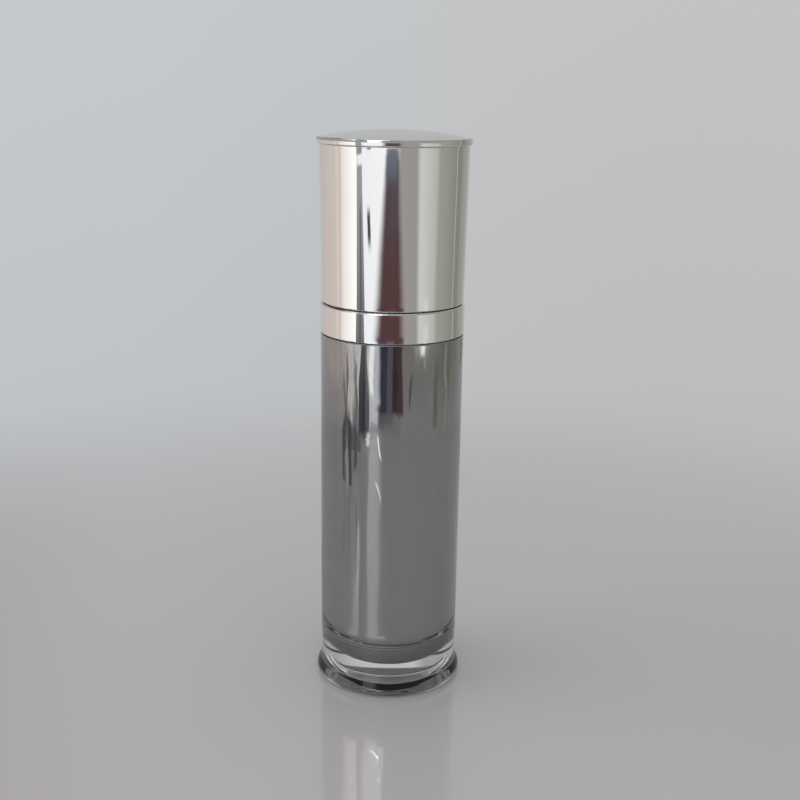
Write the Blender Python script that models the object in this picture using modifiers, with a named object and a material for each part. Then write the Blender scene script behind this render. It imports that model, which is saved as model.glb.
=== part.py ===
"""Toner bottle: a clear double-wall dispensing bottle with a pump under a tall bright cap.

The bottle stands on z = 0 with its axis on Z, and its spout looks along -Y. A clear outer
bottle with a thick flared foot holds a lacquered inner bottle with a screw neck. A bright
collar clamps both. The pump screws on the neck, and the cap slides over the collar's
upstand. Heights are counted from the surface that the bottle stands on. All in metres.
"""
import math

import bmesh
import bpy
from mathutils import Matrix, Vector

# Gaps: between faces that rest on each other, and between faces that slide
SEAT_GAP = 0.0003
SLIDE_GAP = 0.0002
CUT_OVERRUN = 0.002

# Outer bottle: body, foot and floor
BODY_RADIUS = 0.0225
BODY_HEIGHT = 0.11545
ACRYLIC_WALL = 0.0032
FLOOR_HEIGHT = 0.0065
CAVITY_CORNER = 0.0133
WAIST_DEPTH = 0.0003
WAIST_TOP = 0.0160
WAIST_HEIGHT = 0.0078
FLARE_WIDTH = 0.00095
LIP_TOP = 0.0026
LIP_WIDTH = 0.00131
LIP_HEIGHT = 0.0015
LIP_ROUND = 0.00095
BASE_RING_WIDTH = 0.0095
BASE_RECESS = 0.0036
BASE_RECESS_DRAFT = 0.0010

# Collar: bright sleeve over a liner that clamps the inner bottle
COLLAR_PROUD = 0.00016
COLLAR_HEIGHT = 0.00929
SLEEVE_WALL = 0.0010
SLEEVE_TOP = 0.0009
LINER_SKIRT_WALL = 0.0008
LINER_PLATE = 0.0012
UPSTAND_WALL = 0.0014
UPSTAND_HEIGHT = 0.0060
UPSTAND_CLEARANCE = 0.00025
OPENING_CLEARANCE = 0.0005
EDGE_CHAMFER = 0.00025

# Inner bottle
BOTTLE_WALL = 0.0012
BOTTLE_FLANGE = 0.0014

# Screw neck and its thread
NECK_RADIUS = 0.0089
NECK_WALL = 0.0016
NECK_HEIGHT = 0.0140
THREAD_PITCH = 0.003175
THREAD_BEAD = 0.0007
THREAD_CLEARANCE = 0.0003
THREAD_START = 0.0022
NECK_TURNS = 1.75
CLOSURE_TURNS = 1.25
THREAD_PROUD_SHARE = 0.3

# Screw closure and its bright sleeve
CLOSURE_WALL = 0.0015
CLOSURE_PLATE = 0.0012
CLOSURE_FOOT = 0.0005
CLOSURE_SLEEVE_WALL = 0.0007

# Pump body
GASKET_THICKNESS = 0.0008
PUMP_FLANGE = 0.0012
PUMP_CLEARANCE = 0.0007
PUMP_WALL = 0.0010
CYLINDER_LENGTH = 0.0300
BALL_RADIUS = 0.0020
BALL_LIFT = 0.0012
BALL_PLAY = 0.0005
CAGE_LIP = 0.0006
CAGE_LIP_REACH = 0.00025
CAGE_WALL = 0.0011
VALVE_BORE = 0.0013
TUBE_RADIUS = 0.0020
TUBE_BORE = 0.0014
TUBE_SOCKET_DEPTH = 0.0080
TUBE_SOCKET_WALL = 0.0010
TUBE_FLOOR_GAP = 0.0012
TUBE_CUT_ANGLE = math.radians(25)
HOUSING_CAP_FLANGE = 0.0010
HOUSING_CAP_SKIRT = 0.0045
HUB_WIDTH = 0.0028
HUB_PROUD = 0.0004

# Piston, rod and spring
STROKE = 0.0080
PISTON_HEIGHT = 0.0050
PISTON_LIP = 0.0012
PISTON_WAIST = 0.0006
STEM_RADIUS = 0.0032
STEM_WALL = 0.0011
ROD_RADIUS = 0.0016
ROD_FOOT = 0.0012
ROD_FOOT_CLEARANCE = 0.0010
ROD_INSERTION = 0.0120
WIRE_RADIUS = 0.0004
SPRING_CLEARANCE = 0.0011
SPRING_TURNS = 8

# Pump head
HEAD_RADIUS = 0.0098
HEAD_HEIGHT = 0.0140
HEAD_WALL = 0.0007
HEAD_CORNER = 0.0014
HEAD_DISH = 0.0005
HEAD_END_GAP = 0.0006
CORE_WALL = 0.0010
BOSS_WALL = 0.0013
BOSS_LIFT = 0.0005
SPOUT_DROP = 0.0050
SPOUT_RADIUS = 0.0030
SPOUT_TIP_RADIUS = 0.0024
SPOUT_SHANK_RADIUS = 0.0021
SPOUT_SHANK_LENGTH = 0.0045
SPOUT_BORE = 0.0011
SPOUT_TIP_CLEARANCE = 0.0021
CHANNEL_RADIUS = 0.0013

# Cap: bright shell and top, plain liner
CAP_STEP = 0.00016
CAP_TAPER = 0.00073
CAP_WALL = 0.0013
CAP_LINER_WALL = 0.0012
CAP_LINER_RECESS = 0.0006
CAP_LIP = 0.0010
HEAD_ROOM = 0.0053
TOP_FLANGE_REACH = 0.00083
TOP_FLANGE_HEIGHT = 0.0019
TOP_EDGE_ROUND = 0.0006
TOP_RISE = 0.0024
TOP_SHELL = 0.0016
PLUG_RADIUS = 0.0165
PLUG_WALL = 0.0012

# How finely the round pieces are turned
OUTER_STEPS = 40
INNER_STEPS = 32
SMALL_STEPS = 20
WIRE_POINTS_PER_TURN = 10
THREAD_POINTS_PER_TURN = 20
MERGE_DISTANCE = 0.000001
SHARP_ANGLE = math.radians(32)

# Radii that follow, from the body inwards
CAVITY_RADIUS = BODY_RADIUS - ACRYLIC_WALL
BOTTLE_RADIUS = CAVITY_RADIUS - SEAT_GAP
SLEEVE_RADIUS = BODY_RADIUS + COLLAR_PROUD
SLEEVE_BORE = SLEEVE_RADIUS - SLEEVE_WALL
LINER_SKIRT_RADIUS = SLEEVE_BORE - SEAT_GAP
LINER_SKIRT_BORE = LINER_SKIRT_RADIUS - LINER_SKIRT_WALL
SPIGOT_RADIUS = LINER_SKIRT_BORE - SEAT_GAP
CAP_RADIUS = BODY_RADIUS - CAP_STEP
CAP_LINER_BORE = CAP_RADIUS - CAP_WALL - SEAT_GAP - CAP_LINER_WALL
UPSTAND_RADIUS = CAP_LINER_BORE - UPSTAND_CLEARANCE
THREAD_CREST = NECK_RADIUS + THREAD_BEAD * (1 + THREAD_PROUD_SHARE)
CLOSURE_BORE = THREAD_CREST + THREAD_CLEARANCE
CLOSURE_RADIUS = CLOSURE_BORE + CLOSURE_WALL
CLOSURE_SLEEVE_BORE = CLOSURE_RADIUS + SEAT_GAP
CLOSURE_SLEEVE_RADIUS = CLOSURE_SLEEVE_BORE + CLOSURE_SLEEVE_WALL
COLLAR_OPENING = CLOSURE_SLEEVE_RADIUS + OPENING_CLEARANCE
NECK_BORE = NECK_RADIUS - NECK_WALL
PUMP_FLANGE_RADIUS = NECK_RADIUS - SLIDE_GAP
CYLINDER_RADIUS = NECK_BORE - PUMP_CLEARANCE
CYLINDER_BORE = CYLINDER_RADIUS - PUMP_WALL
STEM_HOLE = STEM_RADIUS + SLIDE_GAP
HUB_RADIUS = STEM_HOLE + HUB_WIDTH
HUB_HOLE = HUB_RADIUS + SEAT_GAP
CAGE_RADIUS = BALL_RADIUS + BALL_PLAY
TUBE_SOCKET_BORE = TUBE_RADIUS + SLIDE_GAP
TUBE_SOCKET_RADIUS = TUBE_SOCKET_BORE + TUBE_SOCKET_WALL

# Heights that follow, from the foot up
COLLAR_BOTTOM = BODY_HEIGHT + SEAT_GAP
COLLAR_TOP = COLLAR_BOTTOM + COLLAR_HEIGHT
LINER_PLATE_TOP = COLLAR_TOP - SLEEVE_TOP - SEAT_GAP
LINER_PLATE_BOTTOM = LINER_PLATE_TOP - LINER_PLATE
BOTTLE_FLANGE_TOP = LINER_PLATE_BOTTOM - SEAT_GAP
BOTTLE_FLANGE_BOTTOM = BOTTLE_FLANGE_TOP - BOTTLE_FLANGE
SPIGOT_TOP = BOTTLE_FLANGE_BOTTOM - SEAT_GAP
NECK_TOP = BOTTLE_FLANGE_TOP + NECK_HEIGHT
BOTTLE_BOTTOM = FLOOR_HEIGHT + SEAT_GAP
BOTTLE_FLOOR = BOTTLE_BOTTOM + BOTTLE_WALL
CLOSURE_BOTTOM = BOTTLE_FLANGE_TOP + CLOSURE_FOOT
GASKET_BOTTOM = NECK_TOP + SLIDE_GAP
GASKET_TOP = GASKET_BOTTOM + GASKET_THICKNESS
PUMP_FLANGE_BOTTOM = GASKET_TOP + SLIDE_GAP
PUMP_TOP = PUMP_FLANGE_BOTTOM + PUMP_FLANGE
HOUSING_CAP_BOTTOM = PUMP_TOP + SLIDE_GAP
HOUSING_CAP_TOP = HOUSING_CAP_BOTTOM + HOUSING_CAP_FLANGE
CLOSURE_PLATE_BOTTOM = HOUSING_CAP_TOP + SLIDE_GAP
CLOSURE_TOP = CLOSURE_PLATE_BOTTOM + CLOSURE_PLATE
CLOSURE_SLEEVE_CEILING = CLOSURE_TOP + SEAT_GAP
CLOSURE_SLEEVE_TOP = CLOSURE_SLEEVE_CEILING + CLOSURE_SLEEVE_WALL
HUB_TOP = CLOSURE_SLEEVE_TOP + HUB_PROUD
SPRING_LEDGE = PUMP_FLANGE_BOTTOM - CYLINDER_LENGTH
CAGE_TOP = SPRING_LEDGE - CAGE_LIP
SEAT_TOP = CAGE_TOP - BALL_RADIUS - BALL_PLAY - BALL_LIFT - SLIDE_GAP
BALL_HEIGHT = SEAT_TOP + BALL_PLAY
SEAT_BOTTOM = SEAT_TOP - (CAGE_RADIUS - VALVE_BORE)
TUBE_SOCKET_TOP = SEAT_BOTTOM - CAGE_WALL
TUBE_SOCKET_BOTTOM = TUBE_SOCKET_TOP - TUBE_SOCKET_DEPTH
HOUSING_CAP_SKIRT_BOTTOM = HOUSING_CAP_BOTTOM - HOUSING_CAP_SKIRT
PISTON_TOP = HOUSING_CAP_SKIRT_BOTTOM - SEAT_GAP
PISTON_BOTTOM = PISTON_TOP - PISTON_HEIGHT
ROD_FOOT_TOP = PISTON_BOTTOM - SEAT_GAP
ROD_FOOT_BOTTOM = ROD_FOOT_TOP - ROD_FOOT
HEAD_BOTTOM = HUB_TOP + STROKE + HEAD_END_GAP
HEAD_TOP = HEAD_BOTTOM + HEAD_HEIGHT
SPOUT_HEIGHT = HEAD_TOP - SPOUT_DROP
CORE_FLOOR = SPOUT_HEIGHT - SPOUT_SHANK_RADIUS - SLIDE_GAP - CORE_WALL
STEM_TOP = CORE_FLOOR - SEAT_GAP
CAP_BOTTOM = COLLAR_TOP + SEAT_GAP
CAP_CEILING = HEAD_TOP + HEAD_ROOM
CAP_LINER_TOP = CAP_CEILING + CAP_LINER_WALL
CAP_LIP_BOTTOM = CAP_LINER_TOP + SEAT_GAP
CAP_TOP = CAP_LIP_BOTTOM + CAP_LIP
TOP_BOTTOM = CAP_TOP + SEAT_GAP
TOP_EDGE = TOP_BOTTOM + TOP_FLANGE_HEIGHT
TOP_APEX = TOP_EDGE + TOP_RISE

# Finishes: colour, roughness, metallic, transmission
FINISHES = {
    "clear_acrylic": ((0.93, 0.95, 0.95), 0.03, 0.0, 0.9),
    "silver_grey_lacquer": ((0.36, 0.36, 0.36), 0.22, 0.8, 0.0),
    "metallised_plastic": ((0.86, 0.86, 0.84), 0.06, 1.0, 0.0),
    "white_polypropylene": ((0.86, 0.86, 0.84), 0.38, 0.0, 0.0),
    "natural_polypropylene": ((0.78, 0.79, 0.78), 0.42, 0.0, 0.2),
    "white_foam": ((0.88, 0.88, 0.86), 0.80, 0.0, 0.0),
    "polyethylene": ((0.80, 0.82, 0.82), 0.45, 0.0, 0.3),
    "stainless_steel": ((0.62, 0.62, 0.61), 0.22, 1.0, 0.0),
}


def clear_scene():
    """Take every object out of the scene that the script starts in."""
    for old in list(bpy.data.objects):
        bpy.data.objects.remove(old)


def new_collection(name):
    """Make a collection under the scene."""
    collection = bpy.data.collections.new(name)
    bpy.context.scene.collection.children.link(collection)
    return collection


def finish_material(name):
    """Make the Principled material of one finish, or give the one already made."""
    if name in bpy.data.materials:
        return bpy.data.materials[name]
    colour, roughness, metallic, transmission = FINISHES[name]
    material = bpy.data.materials.new(name)
    material.use_nodes = True
    shader = material.node_tree.nodes["Principled BSDF"]
    shader.inputs["Base Color"].default_value = (*colour, 1.0)
    shader.inputs["Roughness"].default_value = roughness
    shader.inputs["Metallic"].default_value = metallic
    shader.inputs["Transmission Weight"].default_value = transmission
    material.diffuse_color = (*colour, 1.0)
    return material


def arc(centre, radii, start_deg, end_deg, steps):
    """Points of an elliptical arc in the (radius, height) plane, both ends included."""
    points = []
    for step in range(steps + 1):
        angle = math.radians(start_deg + (end_deg - start_deg) * step / steps)
        points.append((centre[0] + radii[0] * math.cos(angle), centre[1] + radii[1] * math.sin(angle)))
    return points


def ease(start, end, steps):
    """Points of a soft S from start to end that leaves and arrives along the axis."""
    points = []
    for step in range(steps + 1):
        share = step / steps
        blend = (1 - math.cos(math.pi * share)) / 2
        points.append((start[0] + (end[0] - start[0]) * blend, start[1] + (end[1] - start[1]) * share))
    return points


def settle(piece):
    """Fix a piece's modifiers into its mesh and shade its round faces smooth."""
    graph = bpy.context.evaluated_depsgraph_get()
    solid = bpy.data.meshes.new_from_object(piece.evaluated_get(graph))
    piece.modifiers.clear()
    piece.data = solid
    solid.name = piece.name
    solid.shade_smooth()
    solid.set_sharp_from_angle(angle=SHARP_ANGLE)
    return piece


def turned(name, outline, seat, steps, finish, collection):
    """Turn an outline of (radius, height) points about the axis, with the origin at height seat.

    The outline runs down the outer side. It closes on itself, or starts and ends on the axis.
    """
    mesh = bpy.data.meshes.new(name)
    last = len(outline) - 1
    edges = [(index, index + 1) for index in range(last)]
    if outline[0][0] > 0:
        edges.append((last, 0))
    mesh.from_pydata([(radius, 0, height - seat) for radius, height in outline], edges, [])
    mesh.materials.append(finish_material(finish))
    piece = bpy.data.objects.new(name, mesh)
    piece.location.z = seat
    collection.objects.link(piece)
    screw = piece.modifiers.new("turn", "SCREW")
    screw.axis = "Z"
    screw.angle = math.tau
    screw.steps = steps
    screw.render_steps = steps
    screw.use_merge_vertices = True
    screw.merge_threshold = MERGE_DISTANCE
    return settle(piece)


def wire(name, points, radius, sides, finish, collection):
    """Make one closed round wire along the points, as a mesh with welded caps."""
    curve = bpy.data.curves.new(name, "CURVE")
    curve.dimensions = "3D"
    curve.bevel_depth = radius
    curve.bevel_resolution = sides
    curve.use_fill_caps = True
    spline = curve.splines.new("POLY")
    spline.points.add(len(points) - 1)
    for point, place in zip(spline.points, points):
        point.co = (*place, 1)
    guide = bpy.data.objects.new(name + "_guide", curve)
    collection.objects.link(guide)
    graph = bpy.context.evaluated_depsgraph_get()
    mesh = bpy.data.meshes.new_from_object(guide.evaluated_get(graph))
    welded = bmesh.new()
    welded.from_mesh(mesh)
    bmesh.ops.remove_doubles(welded, verts=welded.verts, dist=MERGE_DISTANCE)
    bmesh.ops.recalc_face_normals(welded, faces=welded.faces)
    welded.to_mesh(mesh)
    welded.free()
    mesh.materials.clear()
    mesh.materials.append(finish_material(finish))
    piece = bpy.data.objects.new(name, mesh)
    piece.matrix_world = guide.matrix_world.copy()
    bpy.data.objects.remove(guide)
    collection.objects.link(piece)
    mesh.shade_smooth()
    return piece


def helix(radius, start_height, pitch, turns, points_per_turn, start_turn=0.0):
    """Points of a right-hand helix that climbs from start_height."""
    count = round(turns * points_per_turn)
    points = []
    for index in range(count + 1):
        travelled = turns * index / count
        angle = math.tau * (start_turn + travelled)
        height = start_height + pitch * travelled
        points.append(Vector((radius * math.cos(angle), radius * math.sin(angle), height)))
    return points


def rod_cutter(name, radius, start, end, finish, collection):
    """Make a round bar from start to end, for a cut."""
    mesh = bpy.data.meshes.new(name)
    direction = Vector(end) - Vector(start)
    shape = bmesh.new()
    bmesh.ops.create_cone(shape, cap_ends=True, segments=SMALL_STEPS, radius1=radius,
                          radius2=radius, depth=direction.length)
    shape.to_mesh(mesh)
    shape.free()
    mesh.materials.append(finish_material(finish))
    bar = bpy.data.objects.new(name, mesh)
    turn = Vector((0, 0, 1)).rotation_difference(direction).to_matrix().to_4x4()
    bar.matrix_world = Matrix.Translation((Vector(start) + Vector(end)) / 2) @ turn
    collection.objects.link(bar)
    return bar


def combine(piece, tool, operation):
    """Join the tool to the piece, or cut it away, and remove the tool."""
    tool.hide_render = True
    tool.display_type = "WIRE"
    step = piece.modifiers.new(operation.lower(), "BOOLEAN")
    step.operation = operation
    step.solver = "EXACT"
    step.object = tool
    bpy.context.view_layer.update()
    settle(piece)
    bpy.data.objects.remove(tool)
    return piece


def cap_radius(height):
    """Outer radius of the cap at a height: it widens a little towards the top."""
    share = (height - CAP_BOTTOM) / (CAP_TOP - CAP_BOTTOM)
    return CAP_RADIUS + CAP_TAPER * share


def outer_bottle(parts):
    """Clear bottle: flared foot round a recess, rounded hollow, spigot under the collar."""
    corner = (CAVITY_RADIUS - CAVITY_CORNER, FLOOR_HEIGHT + CAVITY_CORNER)
    waist = BODY_RADIUS - WAIST_DEPTH
    flare = BODY_RADIUS + FLARE_WIDTH
    lip = BODY_RADIUS + LIP_WIDTH
    ring = lip - LIP_ROUND
    outline = [(0, FLOOR_HEIGHT)]
    outline += arc(corner, (CAVITY_CORNER, CAVITY_CORNER), -90, 0, 8)
    outline += [
        (CAVITY_RADIUS, SPIGOT_TOP),
        (SPIGOT_RADIUS - EDGE_CHAMFER, SPIGOT_TOP),
        (SPIGOT_RADIUS, SPIGOT_TOP - EDGE_CHAMFER),
        (SPIGOT_RADIUS, BODY_HEIGHT),
        (BODY_RADIUS - EDGE_CHAMFER, BODY_HEIGHT),
        (BODY_RADIUS, BODY_HEIGHT - EDGE_CHAMFER),
    ]
    outline += ease((BODY_RADIUS, WAIST_TOP), (waist, WAIST_HEIGHT), 3)
    outline += ease((waist, WAIST_HEIGHT), (flare, LIP_TOP), 6)[1:]
    outline += arc((ring, LIP_HEIGHT), (LIP_ROUND, LIP_HEIGHT), 0, -90, 4)
    outline += [
        (ring - BASE_RING_WIDTH, 0),
        (ring - BASE_RING_WIDTH - BASE_RECESS_DRAFT, BASE_RECESS),
        (0, BASE_RECESS),
    ]
    return turned("outer_bottle", outline, 0, OUTER_STEPS, "clear_acrylic", parts)


def inner_bottle(parts):
    """Lacquered bottle: rounded bottom, shoulder flange on the spigot, threaded neck."""
    corner = (CAVITY_RADIUS - CAVITY_CORNER, FLOOR_HEIGHT + CAVITY_CORNER)
    outside = CAVITY_CORNER - SEAT_GAP
    inside = outside - BOTTLE_WALL
    bore = BOTTLE_RADIUS - BOTTLE_WALL
    outline = [(0, BOTTLE_FLOOR)]
    outline += arc(corner, (inside, inside), -90, 0, 8)
    outline += [
        (bore, BOTTLE_FLANGE_BOTTOM),
        (NECK_BORE, BOTTLE_FLANGE_BOTTOM),
        (NECK_BORE, NECK_TOP),
        (NECK_RADIUS - EDGE_CHAMFER, NECK_TOP),
        (NECK_RADIUS, NECK_TOP - EDGE_CHAMFER),
        (NECK_RADIUS, BOTTLE_FLANGE_TOP),
        (SPIGOT_RADIUS, BOTTLE_FLANGE_TOP),
        (SPIGOT_RADIUS, BOTTLE_FLANGE_BOTTOM),
        (BOTTLE_RADIUS, BOTTLE_FLANGE_BOTTOM),
    ]
    outline += arc(corner, (outside, outside), 0, -90, 8)
    outline.append((0, BOTTLE_BOTTOM))
    bottle = turned("inner_bottle", outline, 0, INNER_STEPS, "silver_grey_lacquer", parts)
    bead_radius = NECK_RADIUS + THREAD_BEAD * THREAD_PROUD_SHARE
    bead_start = NECK_TOP - THREAD_START - NECK_TURNS * THREAD_PITCH
    points = helix(bead_radius, bead_start, THREAD_PITCH, NECK_TURNS, THREAD_POINTS_PER_TURN)
    thread = wire("neck_thread", points, THREAD_BEAD, 2, "silver_grey_lacquer", parts)
    return combine(bottle, thread, "UNION")


def collar_sleeve(parts):
    """Bright ring with a top flange that covers the liner."""
    hole = UPSTAND_RADIUS + SEAT_GAP
    outline = [
        (SLEEVE_RADIUS - EDGE_CHAMFER, COLLAR_TOP),
        (SLEEVE_RADIUS, COLLAR_TOP - EDGE_CHAMFER),
        (SLEEVE_RADIUS, COLLAR_BOTTOM + EDGE_CHAMFER),
        (SLEEVE_RADIUS - EDGE_CHAMFER, COLLAR_BOTTOM),
        (SLEEVE_BORE, COLLAR_BOTTOM),
        (SLEEVE_BORE, COLLAR_TOP - SLEEVE_TOP),
        (hole, COLLAR_TOP - SLEEVE_TOP),
        (hole, COLLAR_TOP),
    ]
    return turned("collar_sleeve", outline, COLLAR_BOTTOM, OUTER_STEPS, "metallised_plastic", parts)


def collar_liner(parts):
    """Ring that grips the spigot, clamps the inner bottle and carries the cap on its upstand."""
    upstand_top = COLLAR_TOP + UPSTAND_HEIGHT
    upstand_bore = UPSTAND_RADIUS - UPSTAND_WALL
    outline = [
        (UPSTAND_RADIUS - EDGE_CHAMFER, upstand_top),
        (UPSTAND_RADIUS, upstand_top - EDGE_CHAMFER),
        (UPSTAND_RADIUS, LINER_PLATE_TOP),
        (LINER_SKIRT_RADIUS, LINER_PLATE_TOP),
        (LINER_SKIRT_RADIUS, COLLAR_BOTTOM),
        (LINER_SKIRT_BORE, COLLAR_BOTTOM),
        (LINER_SKIRT_BORE, LINER_PLATE_BOTTOM),
        (COLLAR_OPENING, LINER_PLATE_BOTTOM),
        (COLLAR_OPENING, LINER_PLATE_TOP),
        (upstand_bore, LINER_PLATE_TOP),
        (upstand_bore, upstand_top),
    ]
    return turned("collar_liner", outline, COLLAR_BOTTOM, INNER_STEPS, "white_polypropylene", parts)


def cap_shell(parts):
    """Bright wall of the cap with an inward lip that the top plugs into."""
    inner_top = cap_radius(CAP_LIP_BOTTOM) - CAP_WALL
    outline = [
        (cap_radius(CAP_TOP), CAP_TOP),
        (cap_radius(CAP_BOTTOM + EDGE_CHAMFER), CAP_BOTTOM + EDGE_CHAMFER),
        (CAP_RADIUS - EDGE_CHAMFER, CAP_BOTTOM),
        (CAP_RADIUS - CAP_WALL, CAP_BOTTOM),
        (inner_top, CAP_LIP_BOTTOM),
        (PLUG_RADIUS + SEAT_GAP, CAP_LIP_BOTTOM),
        (PLUG_RADIUS + SEAT_GAP, CAP_TOP),
    ]
    return turned("cap_shell", outline, CAP_BOTTOM, OUTER_STEPS, "metallised_plastic", parts)


def cap_liner(parts):
    """Plain inner cup that grips the collar's upstand and stiffens the shell."""
    bottom = CAP_BOTTOM + CAP_LINER_RECESS
    outset = CAP_WALL + SEAT_GAP
    inset = outset + CAP_LINER_WALL
    outline = [
        (0, CAP_LINER_TOP),
        (cap_radius(CAP_LINER_TOP) - outset, CAP_LINER_TOP),
        (cap_radius(bottom) - outset, bottom),
        (cap_radius(bottom) - inset, bottom),
        (cap_radius(CAP_CEILING) - inset, CAP_CEILING),
        (0, CAP_CEILING),
    ]
    return turned("cap_liner", outline, CAP_BOTTOM, INNER_STEPS, "white_polypropylene", parts)


def dome_height(radius, edge_radius, edge_height, rise):
    """Height of a shallow ball cap over a radius, level with edge_height at its edge."""
    ball = (edge_radius ** 2 + rise ** 2) / (2 * rise)
    return edge_height + rise - ball + math.sqrt(ball ** 2 - radius ** 2)


def cap_top_disc(parts):
    """Bright domed top with an overhanging flange and a plug ring below."""
    flange = cap_radius(CAP_TOP) + TOP_FLANGE_REACH
    edge = flange - TOP_EDGE_ROUND
    plug_bottom = CAP_LINER_TOP + SEAT_GAP
    plug_bore = PLUG_RADIUS - PLUG_WALL
    rings = 6
    outline = []
    for ring in range(rings):
        radius = edge * ring / rings
        outline.append((radius, dome_height(radius, edge, TOP_EDGE, TOP_RISE)))
    outline += arc((edge, TOP_EDGE - TOP_EDGE_ROUND), (TOP_EDGE_ROUND, TOP_EDGE_ROUND), 90, 0, 3)
    outline += [
        (flange, TOP_BOTTOM + EDGE_CHAMFER),
        (flange - EDGE_CHAMFER, TOP_BOTTOM),
        (PLUG_RADIUS, TOP_BOTTOM),
        (PLUG_RADIUS, plug_bottom),
        (plug_bore, plug_bottom),
    ]
    hollow_rings = 3
    for ring in range(hollow_rings, -1, -1):
        radius = plug_bore * ring / hollow_rings
        outline.append((radius, dome_height(radius, edge, TOP_EDGE, TOP_RISE) - TOP_SHELL))
    return turned("cap_top_disc", outline, TOP_BOTTOM, OUTER_STEPS, "metallised_plastic", parts)


def closure(parts):
    """Screw closure: presses the pump's flange on the neck, with its own inner thread."""
    outline = [
        (CLOSURE_RADIUS - EDGE_CHAMFER, CLOSURE_TOP),
        (CLOSURE_RADIUS, CLOSURE_TOP - EDGE_CHAMFER),
        (CLOSURE_RADIUS, CLOSURE_BOTTOM),
        (CLOSURE_BORE, CLOSURE_BOTTOM),
        (CLOSURE_BORE, CLOSURE_PLATE_BOTTOM),
        (HUB_HOLE, CLOSURE_PLATE_BOTTOM),
        (HUB_HOLE, CLOSURE_TOP),
    ]
    ring = turned("closure", outline, CLOSURE_BOTTOM, INNER_STEPS, "white_polypropylene", parts)
    bead_radius = CLOSURE_BORE - THREAD_BEAD * THREAD_PROUD_SHARE
    bead_start = NECK_TOP - THREAD_START - (NECK_TURNS + 1 / 2) * THREAD_PITCH
    points = helix(bead_radius, bead_start, THREAD_PITCH, CLOSURE_TURNS, THREAD_POINTS_PER_TURN)
    thread = wire("closure_thread", points, THREAD_BEAD, 2, "white_polypropylene", parts)
    return combine(ring, thread, "UNION")


def closure_sleeve(parts):
    """Bright cover pressed over the screw closure."""
    outline = [
        (CLOSURE_SLEEVE_RADIUS - EDGE_CHAMFER, CLOSURE_SLEEVE_TOP),
        (CLOSURE_SLEEVE_RADIUS, CLOSURE_SLEEVE_TOP - EDGE_CHAMFER),
        (CLOSURE_SLEEVE_RADIUS, CLOSURE_BOTTOM),
        (CLOSURE_SLEEVE_BORE, CLOSURE_BOTTOM),
        (CLOSURE_SLEEVE_BORE, CLOSURE_SLEEVE_CEILING),
        (HUB_HOLE, CLOSURE_SLEEVE_CEILING),
        (HUB_HOLE, CLOSURE_SLEEVE_TOP),
    ]
    return turned("closure_sleeve", outline, CLOSURE_BOTTOM, INNER_STEPS, "metallised_plastic", parts)


def neck_gasket(parts):
    """Flat foam washer between the neck's rim and the pump's flange."""
    bore = CYLINDER_RADIUS + SLIDE_GAP
    outline = [
        (PUMP_FLANGE_RADIUS, GASKET_TOP),
        (PUMP_FLANGE_RADIUS, GASKET_BOTTOM),
        (bore, GASKET_BOTTOM),
        (bore, GASKET_TOP),
    ]
    return turned("neck_gasket", outline, GASKET_BOTTOM, SMALL_STEPS, "white_foam", parts)


def pump_housing(parts):
    """Pump cylinder with its flange, spring ledge, ball cage, conical seat and tube socket."""
    cage_outside = CAGE_RADIUS + CAGE_WALL
    cage_mouth = BALL_RADIUS - CAGE_LIP_REACH
    ledge_underside = SPRING_LEDGE - PUMP_WALL
    outline = [
        (PUMP_FLANGE_RADIUS, PUMP_TOP),
        (PUMP_FLANGE_RADIUS, PUMP_FLANGE_BOTTOM),
        (CYLINDER_RADIUS, PUMP_FLANGE_BOTTOM),
        (CYLINDER_RADIUS, SPRING_LEDGE),
        (cage_outside, ledge_underside - PUMP_WALL),
        (cage_outside, TUBE_SOCKET_TOP),
        (TUBE_SOCKET_RADIUS, TUBE_SOCKET_TOP - CAGE_WALL),
        (TUBE_SOCKET_RADIUS, TUBE_SOCKET_BOTTOM),
        (TUBE_SOCKET_BORE, TUBE_SOCKET_BOTTOM),
        (TUBE_SOCKET_BORE, TUBE_SOCKET_TOP),
        (VALVE_BORE, TUBE_SOCKET_TOP),
        (VALVE_BORE, SEAT_BOTTOM),
        (CAGE_RADIUS, SEAT_TOP),
        (CAGE_RADIUS, CAGE_TOP),
        (cage_mouth, CAGE_TOP),
        (cage_mouth, SPRING_LEDGE),
        (CYLINDER_BORE, SPRING_LEDGE),
        (CYLINDER_BORE, PUMP_TOP),
    ]
    return turned("pump_housing", outline, PUMP_FLANGE_BOTTOM, SMALL_STEPS, "natural_polypropylene", parts)


def housing_cap(parts):
    """Ring that closes the cylinder: flange, hub around the stem, skirt in the bore."""
    skirt = CYLINDER_BORE - SLIDE_GAP
    outline = [
        (HUB_RADIUS - EDGE_CHAMFER, HUB_TOP),
        (HUB_RADIUS, HUB_TOP - EDGE_CHAMFER),
        (HUB_RADIUS, HOUSING_CAP_TOP),
        (PUMP_FLANGE_RADIUS, HOUSING_CAP_TOP),
        (PUMP_FLANGE_RADIUS, HOUSING_CAP_BOTTOM),
        (skirt, HOUSING_CAP_BOTTOM),
        (skirt, HOUSING_CAP_SKIRT_BOTTOM),
        (STEM_HOLE, HOUSING_CAP_SKIRT_BOTTOM),
        (STEM_HOLE, HUB_TOP),
    ]
    return turned("housing_cap", outline, HOUSING_CAP_BOTTOM, SMALL_STEPS, "white_polypropylene", parts)


def check_ball(parts):
    """Inlet valve ball, a hair above its conical seat."""
    mesh = bpy.data.meshes.new("check_ball")
    shape = bmesh.new()
    bmesh.ops.create_uvsphere(shape, u_segments=16, v_segments=8, radius=BALL_RADIUS)
    shape.to_mesh(mesh)
    shape.free()
    mesh.materials.append(finish_material("stainless_steel"))
    mesh.shade_smooth()
    ball = bpy.data.objects.new("check_ball", mesh)
    ball.location.z = BALL_HEIGHT
    parts.objects.link(ball)
    return ball


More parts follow.
